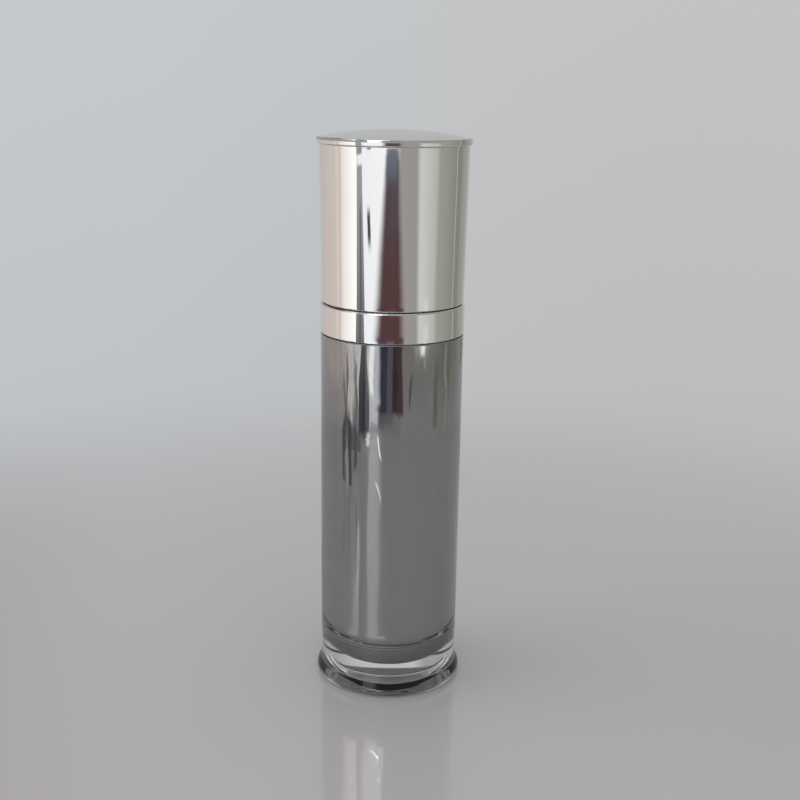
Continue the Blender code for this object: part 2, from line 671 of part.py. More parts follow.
def dip_tube(parts):
    """Suction tube from its socket to just above the floor, its foot cut at a slant."""
    top = TUBE_SOCKET_TOP - SEAT_GAP
    bottom = BOTTLE_FLOOR + TUBE_FLOOR_GAP
    outline = [
        (TUBE_RADIUS, top),
        (TUBE_RADIUS, bottom),
        (TUBE_BORE, bottom),
        (TUBE_BORE, top),
    ]
    tube = turned("dip_tube", outline, bottom, SMALL_STEPS, "polyethylene", parts)
    reach = TUBE_RADIUS + CUT_OVERRUN
    slant = bpy.data.meshes.new("tube_cutter")
    shape = bmesh.new()
    bmesh.ops.create_cube(shape, size=2 * reach)
    shape.to_mesh(slant)
    shape.free()
    slant.materials.append(finish_material("polyethylene"))
    cutter = bpy.data.objects.new("tube_cutter", slant)
    tilt = Matrix.Rotation(TUBE_CUT_ANGLE, 4, "X")
    corner = Vector((0, -TUBE_RADIUS, bottom))
    cutter.matrix_world = Matrix.Translation(corner) @ tilt @ Matrix.Translation((0, 0, -reach))
    parts.objects.link(cutter)
    return combine(tube, cutter, "DIFFERENCE")


def stem(parts):
    """Hollow stem from the piston up into the head."""
    bore = STEM_RADIUS - STEM_WALL
    bottom = PISTON_TOP + SEAT_GAP
    outline = [
        (STEM_RADIUS, STEM_TOP),
        (STEM_RADIUS, bottom),
        (bore, bottom),
        (bore, STEM_TOP),
    ]
    return turned("stem", outline, bottom, SMALL_STEPS, "white_polypropylene", parts)


def valve_rod(parts):
    """Rod up the stem, with the foot disc that the spring pushes on."""
    foot = CYLINDER_BORE - ROD_FOOT_CLEARANCE
    top = PISTON_TOP + ROD_INSERTION
    outline = [
        (0, top),
        (ROD_RADIUS, top),
        (ROD_RADIUS, ROD_FOOT_TOP),
        (foot, ROD_FOOT_TOP),
        (foot, ROD_FOOT_BOTTOM),
        (0, ROD_FOOT_BOTTOM),
    ]
    return turned("valve_rod", outline, ROD_FOOT_BOTTOM, SMALL_STEPS, "white_polypropylene", parts)


def piston(parts):
    """Waisted piston with a sealing lip at each end."""
    outside = CYLINDER_BORE - SLIDE_GAP
    waist = outside - PISTON_WAIST
    bore = STEM_RADIUS - STEM_WALL
    outline = [
        (outside, PISTON_TOP),
        (outside, PISTON_TOP - PISTON_LIP),
        (waist, PISTON_TOP - PISTON_LIP - PISTON_WAIST),
        (waist, PISTON_BOTTOM + PISTON_LIP + PISTON_WAIST),
        (outside, PISTON_BOTTOM + PISTON_LIP),
        (outside, PISTON_BOTTOM),
        (bore, PISTON_BOTTOM),
        (bore, PISTON_TOP),
    ]
    return turned("piston", outline, PISTON_BOTTOM, SMALL_STEPS, "polyethylene", parts)


def return_spring(parts):
    """Helical wire spring between the cylinder's ledge and the rod's foot."""
    radius = CYLINDER_BORE - SPRING_CLEARANCE - WIRE_RADIUS
    low = SPRING_LEDGE + SEAT_GAP + WIRE_RADIUS
    high = ROD_FOOT_BOTTOM - SEAT_GAP - WIRE_RADIUS
    pitch = (high - low) / SPRING_TURNS
    points = helix(radius, low, pitch, SPRING_TURNS, WIRE_POINTS_PER_TURN)
    least = math.inf
    for index, point in enumerate(points):
        for other in points[index + WIRE_POINTS_PER_TURN // 2:]:
            least = min(least, (other - point).length - 2 * WIRE_RADIUS)
    print("return_spring: least gap to itself", round(least, 5), "m")
    return wire("return_spring", points, WIRE_RADIUS, 1, "stainless_steel", parts)


def actuator_shell(parts):
    """Bright cover of the pump head, with the hole that the spout passes through."""
    inside = HEAD_RADIUS - HEAD_WALL
    ceiling = HEAD_TOP - HEAD_DISH - HEAD_WALL
    corner = (HEAD_RADIUS - HEAD_CORNER, HEAD_TOP - HEAD_CORNER)
    outline = [(0, HEAD_TOP - HEAD_DISH)]
    outline += arc(corner, (HEAD_CORNER, HEAD_CORNER), 90, 0, 4)
    outline += [
        (HEAD_RADIUS, HEAD_BOTTOM),
        (inside, HEAD_BOTTOM),
        (inside, ceiling),
        (0, ceiling),
    ]
    shell = turned("actuator_shell", outline, HEAD_BOTTOM, INNER_STEPS, "metallised_plastic", parts)
    hole = SPOUT_SHANK_RADIUS + SLIDE_GAP
    inner_end = (0, CUT_OVERRUN - inside, SPOUT_HEIGHT)
    outer_end = (0, -HEAD_RADIUS - CUT_OVERRUN, SPOUT_HEIGHT)
    cutter = rod_cutter("spout_hole", hole, inner_end, outer_end, "metallised_plastic", parts)
    return combine(shell, cutter, "DIFFERENCE")


def actuator_core(parts):
    """Pump head's body: socket for the stem, channel up and out, socket for the spout."""
    outside = HEAD_RADIUS - HEAD_WALL - SEAT_GAP
    inside = outside - CORE_WALL
    top = HEAD_TOP - HEAD_DISH - HEAD_WALL - SEAT_GAP
    socket = STEM_RADIUS + SLIDE_GAP
    boss = socket + BOSS_WALL
    boss_bottom = HEAD_BOTTOM + BOSS_LIFT
    outline = [
        (0, top),
        (outside - EDGE_CHAMFER, top),
        (outside, top - EDGE_CHAMFER),
        (outside, HEAD_BOTTOM),
        (inside, HEAD_BOTTOM),
        (inside, CORE_FLOOR),
        (boss, CORE_FLOOR),
        (boss, boss_bottom),
        (socket, boss_bottom),
        (socket, CORE_FLOOR),
        (CHANNEL_RADIUS, CORE_FLOOR),
        (CHANNEL_RADIUS, SPOUT_HEIGHT),
        (0, SPOUT_HEIGHT),
    ]
    core = turned("actuator_core", outline, HEAD_BOTTOM, SMALL_STEPS, "white_polypropylene", parts)
    shank = SPOUT_SHANK_RADIUS + SLIDE_GAP
    shank_end = (0, SPOUT_SHANK_LENGTH - HEAD_RADIUS, SPOUT_HEIGHT)
    outer_end = (0, -outside - CUT_OVERRUN, SPOUT_HEIGHT)
    pocket = rod_cutter("spout_pocket", shank, shank_end, outer_end, "white_polypropylene", parts)
    combine(core, pocket, "DIFFERENCE")
    channel = rod_cutter("channel", SPOUT_BORE, (0, 0, SPOUT_HEIGHT), outer_end, "white_polypropylene", parts)
    return combine(core, channel, "DIFFERENCE")


def spout(parts):
    """Tapered spout with a bore, pushed through the shell into the core."""
    shank_start = HEAD_RADIUS - SPOUT_SHANK_LENGTH + SEAT_GAP
    shoulder = HEAD_RADIUS + SEAT_GAP
    tip = CAP_LINER_BORE - SPOUT_TIP_CLEARANCE
    outline = [
        (SPOUT_TIP_RADIUS - EDGE_CHAMFER, tip),
        (SPOUT_TIP_RADIUS, tip - EDGE_CHAMFER),
        (SPOUT_RADIUS, shoulder),
        (SPOUT_SHANK_RADIUS, shoulder),
        (SPOUT_SHANK_RADIUS, shank_start),
        (SPOUT_BORE, shank_start),
        (SPOUT_BORE, tip),
    ]
    nozzle = turned("spout", outline, 0, SMALL_STEPS, "white_polypropylene", parts)
    nozzle.rotation_euler.x = math.pi / 2
    nozzle.location.z = SPOUT_HEIGHT
    return nozzle


def hold(name, height, pieces, parent=None):
    """Hang pieces on an empty that stands on the axis at a height, where they stay."""
    mount = bpy.data.objects.new(name, None)
    mount.location.z = height
    bpy.context.scene.collection.objects.link(mount)
    bpy.context.view_layer.update()
    for piece in pieces:
        piece.parent = mount
        piece.matrix_parent_inverse = mount.matrix_world.inverted()
    if parent:
        mount.parent = parent
        mount.matrix_parent_inverse = parent.matrix_world.inverted()
    return mount


def build():
    """Make every piece and hang the moving ones on their axes."""
    clear_scene()
    parts = new_collection("toner_bottle")
    for make in (outer_bottle, inner_bottle, collar_sleeve, collar_liner):
        make(parts)
    hold("cap_axis", CAP_BOTTOM, [make(parts) for make in (cap_shell, cap_top_disc, cap_liner)])
    pump_makers = (pump_housing, housing_cap, neck_gasket, dip_tube, return_spring)
    pump_axis = hold("pump_axis", PUMP_FLANGE_BOTTOM, [make(parts) for make in pump_makers])
    closure_pieces = [closure(parts), closure_sleeve(parts)]
    hold("closure_axis", CLOSURE_BOTTOM, closure_pieces, pump_axis)
    hold("ball_axis", BALL_HEIGHT, [check_ball(parts)], pump_axis)
    piston_axis = hold("piston_axis", PISTON_BOTTOM, [piston(parts)], pump_axis)
    head_makers = (stem, valve_rod, actuator_core, actuator_shell, spout)
    hold("head_axis", HEAD_BOTTOM, [make(parts) for make in head_makers], piston_axis)


build()
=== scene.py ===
"""Looks of a double-wall toner bottle with a screw-on pump under a tall bright cap.

The bottle stands on z = 0 with its axis on Z, and its spout looks along -Y. The sizes of its
pieces are in millimetres and their meshes in metres. Every fine mesh stands where its plain
solid stands.
"""
import logging
import math
from dataclasses import dataclass
from enum import Enum
from typing import Any, Callable, Optional, Sequence, Union

import bmesh
import bpy
import numpy as np
from mathutils import Matrix, Vector


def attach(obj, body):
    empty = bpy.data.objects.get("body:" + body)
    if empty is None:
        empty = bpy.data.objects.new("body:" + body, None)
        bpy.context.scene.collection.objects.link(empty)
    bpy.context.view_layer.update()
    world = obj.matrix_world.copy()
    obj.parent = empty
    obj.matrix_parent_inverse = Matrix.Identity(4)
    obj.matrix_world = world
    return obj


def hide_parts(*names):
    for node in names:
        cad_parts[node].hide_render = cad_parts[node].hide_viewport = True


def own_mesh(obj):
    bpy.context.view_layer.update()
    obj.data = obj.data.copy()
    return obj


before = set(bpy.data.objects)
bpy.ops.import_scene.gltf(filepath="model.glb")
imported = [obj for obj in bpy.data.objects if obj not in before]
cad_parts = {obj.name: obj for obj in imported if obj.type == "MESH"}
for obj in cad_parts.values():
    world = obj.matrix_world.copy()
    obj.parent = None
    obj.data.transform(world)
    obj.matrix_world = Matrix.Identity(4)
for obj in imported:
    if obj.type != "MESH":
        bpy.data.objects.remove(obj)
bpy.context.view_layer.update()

LOG = logging.getLogger("toner_bottle")

MM = 0.001
SHARP_EDGE = math.radians(34)
OUTER_STEPS = 320
INNER_STEPS = 160
SMALL_STEPS = 96
ON_AXIS = 1e-6
FORWARD = Matrix.Rotation(math.pi / 2, 4, "X")  # turns the axis to where the spout looks
NOISE_SPAN = (0.3, 0.7)  # nearly all values of a noise pattern lie in it

Pair = tuple[float, float]
Outline = list[Pair]  # radius, height; corners have a rounding as well
Corners = Sequence[tuple[float, float, float]]
Warp = Callable[[np.ndarray], np.ndarray]
Tree = bpy.types.NodeTree
Node = bpy.types.Node
Piece = bpy.types.Object


class Body(Enum):
    """Bodies that the pieces ride on."""

    BOTTLE = "bottle"
    CAP = "cap"
    PUMP = "pump"
    SCREW_RING = "screw_ring"
    INLET_VALVE = "inlet_valve"
    PLUNGER = "plunger"
    HEAD = "head"


class Slot(Enum):
    """Material slots of the record."""

    ACRYLIC = "clear_acrylic"
    LACQUER = "silver_grey_lacquer"
    BRIGHT = "metallised_plastic"
    WHITE_PP = "white_polypropylene"
    NATURAL_PP = "natural_polypropylene"
    POLYETHYLENE = "polyethylene"
    FOAM = "white_foam"
    STEEL = "stainless_steel"


# ---- Nodes ----


def linear(hex_colour: str) -> tuple[float, float, float, float]:
    """Turn an sRGB colour of six hex digits into the linear colour that shaders use."""
    shares = [int(hex_colour[at:at + 2], 16) / 255 for at in (0, 2, 4)]
    turned = [s / 12.92 if s <= 0.04045 else ((s + 0.055) / 1.055) ** 2.4 for s in shares]
    return (*turned, 1.0)


def feed(node: Node, name: Union[str, int], value: Any) -> None:
    """Give an input of a node a plain value, a socket, or the first output of another node."""
    if isinstance(value, Node):
        value = value.outputs[0]
    if isinstance(value, bpy.types.NodeSocket):
        node.id_data.links.new(value, node.inputs[name])
    else:
        node.inputs[name].default_value = value


def add_node(tree: Tree, kind: str, links: Optional[dict] = None, **settings: Any) -> Node:
    """Add a node by its type without "ShaderNode", with what feeds its inputs and its own settings."""
    node = tree.nodes.new("ShaderNode" + kind)
    for name, value in settings.items():
        setattr(node, name, value)
    for name, value in (links or {}).items():
        feed(node, name, value)
    return node


def maths(tree: Tree, operation: str, *values: Any, clamp: bool = False) -> Node:
    """Add a node that does one sum with its values."""
    return add_node(tree, "Math", dict(enumerate(values)), operation=operation, use_clamp=clamp)


def remap(tree: Tree, value: Any, source: Pair = (0, 1), target: Pair = (0, 1), soft: bool = False) -> Node:
    """Add a node that carries values from one span over to another, and eases both ends if soft."""
    spans = {"From Min": source[0], "From Max": source[1], "To Min": target[0], "To Max": target[1]}
    ease = "SMOOTHSTEP" if soft else "LINEAR"
    return add_node(tree, "MapRange", {"Value": value, **spans}, interpolation_type=ease)


def noise(tree: Tree, space: str, scale: Sequence[float], layers: float, shift: float = 0.0) -> Node:
    """Add a noise pattern with finer layers in it, scaled along each axis of its space."""
    place = {"Vector": add_node(tree, "TexCoord").outputs[space], "Scale": scale, "Location": (shift, 0, 0)}
    return add_node(tree, "TexNoise", {"Vector": add_node(tree, "Mapping", place), "Scale": 1.0, "Detail": layers})


# ---- Finishes ----


@dataclass(frozen=True)
class Grain:
    """A noise pattern with blotches of a real size in millimetres, longer along some axes."""

    size: float
    stretch: tuple[float, float, float] = (1, 1, 1)
    layers: float = 3.0

    def add(self, tree: Tree) -> Node:
        """Add the pattern's nodes."""
        return noise(tree, "Object", tuple(1 / (self.size * MM * along) for along in self.stretch), self.layers)


@dataclass(frozen=True)
class Finish:
    """What a surface is made of, and how its material is dressed.

    The reliefs are patterns with their depths in millimetres, raised one over the other. The
    mottle's pattern moves the roughness between two multiples of its plain value.
    """

    name: str
    slot: Slot
    colour: str
    roughness: float
    metallic: float = 0.0
    ior: float = 1.5
    transmission: float = 0.0
    subsurface: float = 0.0
    reliefs: tuple[tuple[Grain, float], ...] = ()
    mottle: Optional[tuple[Grain, float, float]] = None

    def make(self) -> bpy.types.Material:
        """Make the material, or give the one already made."""
        if self.name in bpy.data.materials:
            return bpy.data.materials[self.name]
        material = bpy.data.materials.new(self.name)
        material.use_nodes = True
        material.diffuse_color = linear(self.colour)
        shader = material.node_tree.nodes["Principled BSDF"]
        for name, value in {"Base Color": linear(self.colour), "Roughness": self.roughness,
                            "Metallic": self.metallic, "IOR": self.ior,
                            "Transmission Weight": self.transmission, "Subsurface Weight": self.subsurface}.items():
            feed(shader, name, value)
        self.detail(material.node_tree, shader)
        return material

    def detail(self, tree: Tree, shader: Node) -> None:
        """Add the nodes that show how the surface was made."""
        under = None
        for pattern, depth in self.reliefs:
            under = self.emboss(tree, shader, pattern.add(tree), depth, under)
        if self.mottle:
            pattern, low, high = self.mottle
            span = (self.roughness * low, self.roughness * high)
            feed(shader, "Roughness", remap(tree, pattern.add(tree), NOISE_SPAN, span))

    def emboss(self, tree: Tree, shader: Node, pattern: Node, depth: float, under: Optional[Node] = None) -> Node:
        """Raise a pattern by a real depth in millimetres, over another raised one if given."""
        bump = add_node(tree, "Bump", {"Height": pattern, "Distance": depth * MM, "Strength": 1.0})
        if under:
            feed(bump, "Normal", under)
        feed(shader, "Normal", bump)
        return bump


@dataclass(frozen=True)
class MirrorLacquer(Finish):
    """Silver-grey mirror lacquer sprayed on the inner bottle.

    It gives a dark mirror: sharp reflections at a third of their brightness, a little soft from
    the spray's orange peel. The heel under the body only caught dry overspray, which dulls it, and
    keeps the blow mould's fine ribs.
    """

    heel: float = 16.3
    heel_fade: float = 0.3
    rib: float = 1.1
    dry_roughness: float = 0.35
    dry_metallic: float = 0.3

    def detail(self, tree: Tree, shader: Node) -> None:
        """Add the blown bottle's long waves, then the dull ribbed heel, then the spray's fine peel."""
        place = add_node(tree, "SeparateXYZ", {0: add_node(tree, "TexCoord").outputs["Object"]})
        height = place.outputs["Z"]
        dry = remap(tree, height, (self.heel * MM, (self.heel - self.heel_fade) * MM), soft=True)
        ribs = maths(tree, "SINE", maths(tree, "MULTIPLY", height, math.tau / (self.rib * MM)))
        peel = Grain(0.9, (1, 1, 1.4)).add(tree)
        under = self.emboss(tree, shader, Grain(6, (1, 1, 4), 1.0).add(tree), 0.17)
        under = self.emboss(tree, shader, maths(tree, "MULTIPLY", ribs, dry), 0.12, under)
        self.emboss(tree, shader, peel, 0.0003, under)
        fine = remap(tree, peel, NOISE_SPAN, (self.roughness * 0.7, self.roughness * 1.3))
        feed(shader, "Roughness", maths(tree, "MULTIPLY_ADD", dry, self.dry_roughness, fine))
        feed(shader, "Metallic", remap(tree, dry, target=(1.0, self.dry_metallic)))


@dataclass(frozen=True)
class MouldedPolypropylene(Finish):
    """Polypropylene from a spark-eroded mould.

    It gives a soft waxy white with a fine grain and cloudy flow marks.
    """

    reliefs: tuple[tuple[Grain, float], ...] = ((Grain(0.25), 0.006),)
    mottle: Optional[tuple[Grain, float, float]] = (Grain(0.25), 0.85, 1.15)
    cloud_shade: tuple[float, float, float] = (0.9, 0.91, 0.9)

    def detail(self, tree: Tree, shader: Node) -> None:
        """Add the mould's grain and the clouds of the flowing melt."""
        super().detail(tree, shader)
        colour = linear(self.colour)
        dull = (*(part * shade for part, shade in zip(colour, self.cloud_shade)), 1.0)
        clouds = Grain(6, (1, 1, 2), 2.0).add(tree)
        feed(shader, "Base Color", add_node(tree, "Mix", {0: clouds, 6: colour, 7: dull}, data_type="RGBA").outputs[2])


@dataclass(frozen=True)
class FoamSheet(Finish):
    """Expanded polyethylene foam, die cut.

    It gives a matt white with closed cells about a third of a millimetre wide.
    """

    cell: float = 0.35

    def detail(self, tree: Tree, shader: Node) -> None:
        """Add the cells."""
        place = add_node(tree, "TexCoord").outputs["Object"]
        cells = add_node(tree, "TexVoronoi", {"Vector": place, "Scale": 1 / (self.cell * MM)})
        self.emboss(tree, shader, cells, 0.08)
        feed(shader, "Roughness", remap(tree, cells, target=(0.95, 0.7)))


# Clear acrylic, injection moulded in a polished mould. It gives the deep glassy foot, and long
# soft flow waves make straight reflections waver a little.
ACRYLIC = Finish("acrylic_polished", Slot.ACRYLIC, "FBFCFC", 0.0, ior=1.49, transmission=1.0,
                 reliefs=((Grain(14, (1, 1, 2.5), 1.0), 0.004),))
LACQUER = MirrorLacquer("lacquer_silver_grey", Slot.LACQUER, "A6A6A6", 0.014, metallic=1.0)
# ABS with a vacuum-metallised skin under clear lacquer. It gives a bright mirror with a faint warm
# cast, which the moulding's waves, the lacquer's peel and faint wiping marks soften in places.
BRIGHT = Finish("abs_metallised", Slot.BRIGHT, "EAEAE8", 0.02, metallic=1.0,
                reliefs=((Grain(7, (1, 1, 4), 1.0), 0.02), (Grain(0.7, (1, 1, 1.3)), 0.00015)),
                mottle=(Grain(3, (1, 1, 0.12), 4.0), 0.5, 1.7))
WHITE_PP = MouldedPolypropylene("polypropylene_white", Slot.WHITE_PP, "EDECE8", 0.36, subsurface=0.05)
NATURAL_PP = MouldedPolypropylene("polypropylene_natural", Slot.NATURAL_PP, "E2E4E1", 0.4, transmission=0.45)
# Polyethylene drawn out of a die. It gives a milky tube with fine lines along its length.
DIE_LINES = Grain(0.3, (1, 1, 60), 2.0)
POLYETHYLENE = Finish("polyethylene_natural", Slot.POLYETHYLENE, "E4E6E5", 0.42, ior=1.51, transmission=0.4,
                      reliefs=((DIE_LINES, 0.01),), mottle=(DIE_LINES, 0.8, 1.2))
FOAM = FoamSheet("foam_white", Slot.FOAM, "F0EFEB", 0.85)
# Stainless steel, drawn or ground bright. It gives a grey mirror with fine scratches round the wire.
SCRATCHES = Grain(0.15, (6, 6, 1), 4.0)
STEEL = Finish("steel_stainless", Slot.STEEL, "BEBDBA", 0.2, metallic=1.0, reliefs=((SCRATCHES, 0.001),),
               mottle=(SCRATCHES, 0.7, 1.5))


# ---- Making meshes ----


def arc(centre: Pair, radii: Pair, start: float, end: float, steps: int) -> Outline:
    """Points of an elliptical arc between two angles in degrees, both ends included."""
    angles = np.radians(np.linspace(start, end, steps + 1))
    return [(centre[0] + radii[0] * math.cos(a), centre[1] + radii[1] * math.sin(a)) for a in angles]


def sweep(points: Sequence[Pair], parts: int) -> Outline:
    """Draw one smooth curve through the points, with a number of straight parts between two of them."""
    places = np.array([points[0], *points, points[-1]], float)
    curve: Outline = []
    for at in range(1, len(places) - 2):
        before, start, end, after = places[at - 1:at + 3]
        for t in np.arange(parts) / parts:
            bend = 2 * before - 5 * start + 4 * end - after + t * (3 * (start - end) + after - before)
            spot = start + 0.5 * t * (end - before + t * bend)
            curve.append((float(spot[0]), float(spot[1])))
    return [*curve, points[-1]]


def rounded(corners: Corners, parts: int = 5) -> Outline:
    """Round the corners of an outline.

    Args:
        corners: the corners. A rounding of 0 keeps one sharp, as both ends of an open outline.
        parts: how many straight parts a rounding has.

    Returns:
        The points of the rounded outline.
    """
    outline: Outline = []
    for at, (radius, height, rounding) in enumerate(corners):
        if not rounding:
            outline.append((radius, height))
            continue
        corner = Vector((radius, height))
        before = (Vector(corners[at - 1][:2]) - corner).normalized()
        after = (Vector(corners[(at + 1) % len(corners)][:2]) - corner).normalized()
        half = before.angle(after) / 2
        reach = rounding / math.tan(half)
        centre = corner + (before + after).normalized() * (rounding / math.sin(half))
        start, end = corner + before * reach - centre, corner + after * reach - centre
        first = math.atan2(start.y, start.x)
        swing = (math.atan2(end.y, end.x) - first + math.pi) % math.tau - math.pi
        outline += arc(centre, (rounding, rounding), math.degrees(first), math.degrees(first + swing), parts)
    return outline


def guarded(outline: Outline, near: float = 0.1) -> Outline:
    """Add a point close to both ends of each long straight, so that smooth shading stays flat between."""
    guards: Outline = []
    for at, (radius, height) in enumerate(outline):
        guards.append((radius, height))
        end = outline[(at + 1) % len(outline)]
        length = math.hypot(end[0] - radius, end[1] - height)
        if length > 8.01 * near and (at + 1 < len(outline) or outline[0][0] > ON_AXIS):
            for share in (near / length, 1 - near / length):
                guards.append((radius + (end[0] - radius) * share, height + (end[1] - height) * share))
    return guards


def shade(mesh: bpy.types.Mesh) -> None:
    """Shade a mesh smooth between its sharp edges."""
    mesh.shade_smooth()
    mesh.set_sharp_from_angle(angle=SHARP_EDGE)


def mesh_piece(name: str, points: np.ndarray, faces: list, smooth: bool = True) -> Piece:
    """Make a mesh object with outward faces out of points in metres.

    Args:
        name: its name.
        points: its points.
        faces: the point numbers of each face.
        smooth: whether its round sides are shaded smooth.

    Returns:
        The new object.
    """
    mesh = bpy.data.meshes.new(name)
    mesh.from_pydata([tuple(point) for point in points], [], faces)
    shell = bmesh.new()
    shell.from_mesh(mesh)
    bmesh.ops.recalc_face_normals(shell, faces=shell.faces)
    shell.to_mesh(mesh)
    shell.free()
    if smooth:
        shade(mesh)
    piece = bpy.data.objects.new(name, mesh)
    bpy.context.scene.collection.objects.link(piece)
    return piece


def turned(name: str, outline: Outline, steps: int, warp: Optional[Warp] = None) -> Piece:
    """Turn an outline about the axis into a closed mesh.

    Args:
        name: the piece's name.
        outline: points that close on themselves, or start and end on the axis.
        steps: how many parts the turn has.
        warp: moves the finished points, such as for a thread.

    Returns:
        The new object.
    """
    outline = guarded(outline)
    angles = np.arange(steps) * math.tau / steps
    rings: list[np.ndarray] = []
    spots: list[np.ndarray] = []
    for radius, height in outline:
        around = angles[:1] if radius < ON_AXIS else angles
        spots.append(sum(map(len, rings)) + np.arange(steps) % len(around))
        rings.append(np.stack([radius * np.cos(around), radius * np.sin(around), np.full(len(around), height)], 1))
    faces = []
    for at in range(1, len(outline) + (outline[0][0] > ON_AXIS)):
        low, high = spots[at - 1], spots[at % len(outline)]
        for step in range(steps):
            beside = (step + 1) % steps
            corners = dict.fromkeys(map(int, (low[step], low[beside], high[beside], high[step])))
            if len(corners) > 2:
                faces.append(list(corners))
    points = np.concatenate(rings)
    return mesh_piece(name, (warp(points) if warp else points) * MM, faces)


def tube_along(name: str, path: np.ndarray, radius: float, sides: int) -> Piece:
    """Make a round wire along a path, with domed ends.

    Args:
        name: the piece's name.
        path: the points of its middle line.
        radius: the wire's radius.
        sides: how many sides it has.

    Returns:
        The new object.
    """
    tangents = np.gradient(path, axis=0)
    tangents /= np.linalg.norm(tangents, axis=1)[:, None]
    side = np.cross(tangents, (0, 0, 1))
    side /= np.linalg.norm(side, axis=1)[:, None]
    up = np.cross(side, tangents)
    angles = np.arange(sides) * math.tau / sides
    radii = np.full(len(path), radius)
    centres = path.copy()
    for end, direction in ((0, -1), (-1, 1)):
        centres[end] += tangents[end] * direction * radius
        radii[end] *= 0.35
    rings = [centre + reach * (np.cos(a) * out + np.sin(a) * over)
             for centre, reach, out, over in zip(centres, radii, side, up) for a in angles]
    last = (len(path) - 1) * sides
    faces = [[low + s, low + (s + 1) % sides, low + sides + (s + 1) % sides, low + sides + s]
             for low in range(0, last, sides) for s in range(sides)]
    faces += [list(range(sides)), list(range(last, last + sides))]
    return mesh_piece(name, np.array(rings) * MM, faces)


def bored(piece: Piece, radius: float, height: float, start: float, end: float) -> Piece:
    """Drill a round hole through the front of a piece.

    Args:
        piece: the piece.
        radius: the hole's radius.
        height: how high the hole lies.
        start: where it starts, in front of the axis.
        end: where it ends.

    Returns:
        The same piece, with the hole in its mesh.
    """
    length = end - start
    drill = turned(piece.name + "_drill", [(0, 0), (radius, 0), (radius, length), (0, length)], 64)
    drill.matrix_world = Matrix.Translation((0, -start * MM, height * MM)) @ FORWARD
    cut = piece.modifiers.new("bore", "BOOLEAN")
    cut.operation, cut.solver, cut.object = "DIFFERENCE", "EXACT", drill
    bpy.context.view_layer.update()
    mesh = bpy.data.meshes.new_from_object(piece.evaluated_get(bpy.context.evaluated_depsgraph_get()))
    piece.modifiers.clear()
    piece.data = mesh
    shade(mesh)
    bpy.data.objects.remove(drill)
    return piece


def fit(piece: Piece, node: str, body: Body, *finishes: Finish) -> Piece:
    """Dress a piece, its slot's finish first, and put it on its body in its node's place."""
    piece.data.materials.clear()
    for finish in finishes:
        piece.data.materials.append(finish.make())
    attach(piece, body.value)
    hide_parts(node)
    LOG.info("%s stands for %s on %s, %d faces", piece.name, node, body.value, len(piece.data.polygons))
    return piece


def lathe(name: str, node: str, body: Body, finish: Finish, outline: Outline, steps: int = SMALL_STEPS,
          warp: Optional[Warp] = None) -> Piece:
    """Turn a piece, dress it and put it in its node's place."""
    return fit(turned(name, outline, steps, warp), node, body, finish)


@dataclass(frozen=True)
class Thread:
    """Right-hand screw thread: a round bead on a wall."""

    wall: float
    start: float
    turns: float
    outward: int
    pitch: float = 3.175
    bead: float = 0.7
    proud_share: float = 1.3
    run_out: float = 0.08
    steps: int = 22

    def outline(self) -> Outline:
        """Points that the wall needs under the bead, from the top down."""
        low, high = self.start - 2 * self.bead, self.start + self.turns * self.pitch + 2 * self.bead
        return [(self.wall, float(z)) for z in np.arange(high, low, -self.pitch / self.steps)]

    def lay(self, points: np.ndarray) -> np.ndarray:
        """Raise the bead out of those points of a turned piece that lie on the wall."""
        radius = np.hypot(points[:, 0], points[:, 1])
        on_wall = np.abs(radius - self.wall) < 0.001
        turn = np.arctan2(points[:, 1], points[:, 0]) / math.tau
        rise = np.zeros(len(points))
        for lap in range(-1, math.ceil(self.turns) + 1):
            travelled = turn + lap
            off = (points[:, 2] - self.start - self.pitch * travelled) / self.bead
            ends = np.clip(np.minimum(travelled, self.turns - travelled) / self.run_out, 0, 1)
            rise = np.maximum(rise, self.proud_share * self.bead * np.sqrt(np.clip(1 - off ** 2, 0, 1) * ends))
        scale = np.where(on_wall, 1 + self.outward * rise / radius.clip(ON_AXIS), 1)
        return points * np.stack([scale, scale, np.ones(len(points))], 1)


# ---- The bottle ----


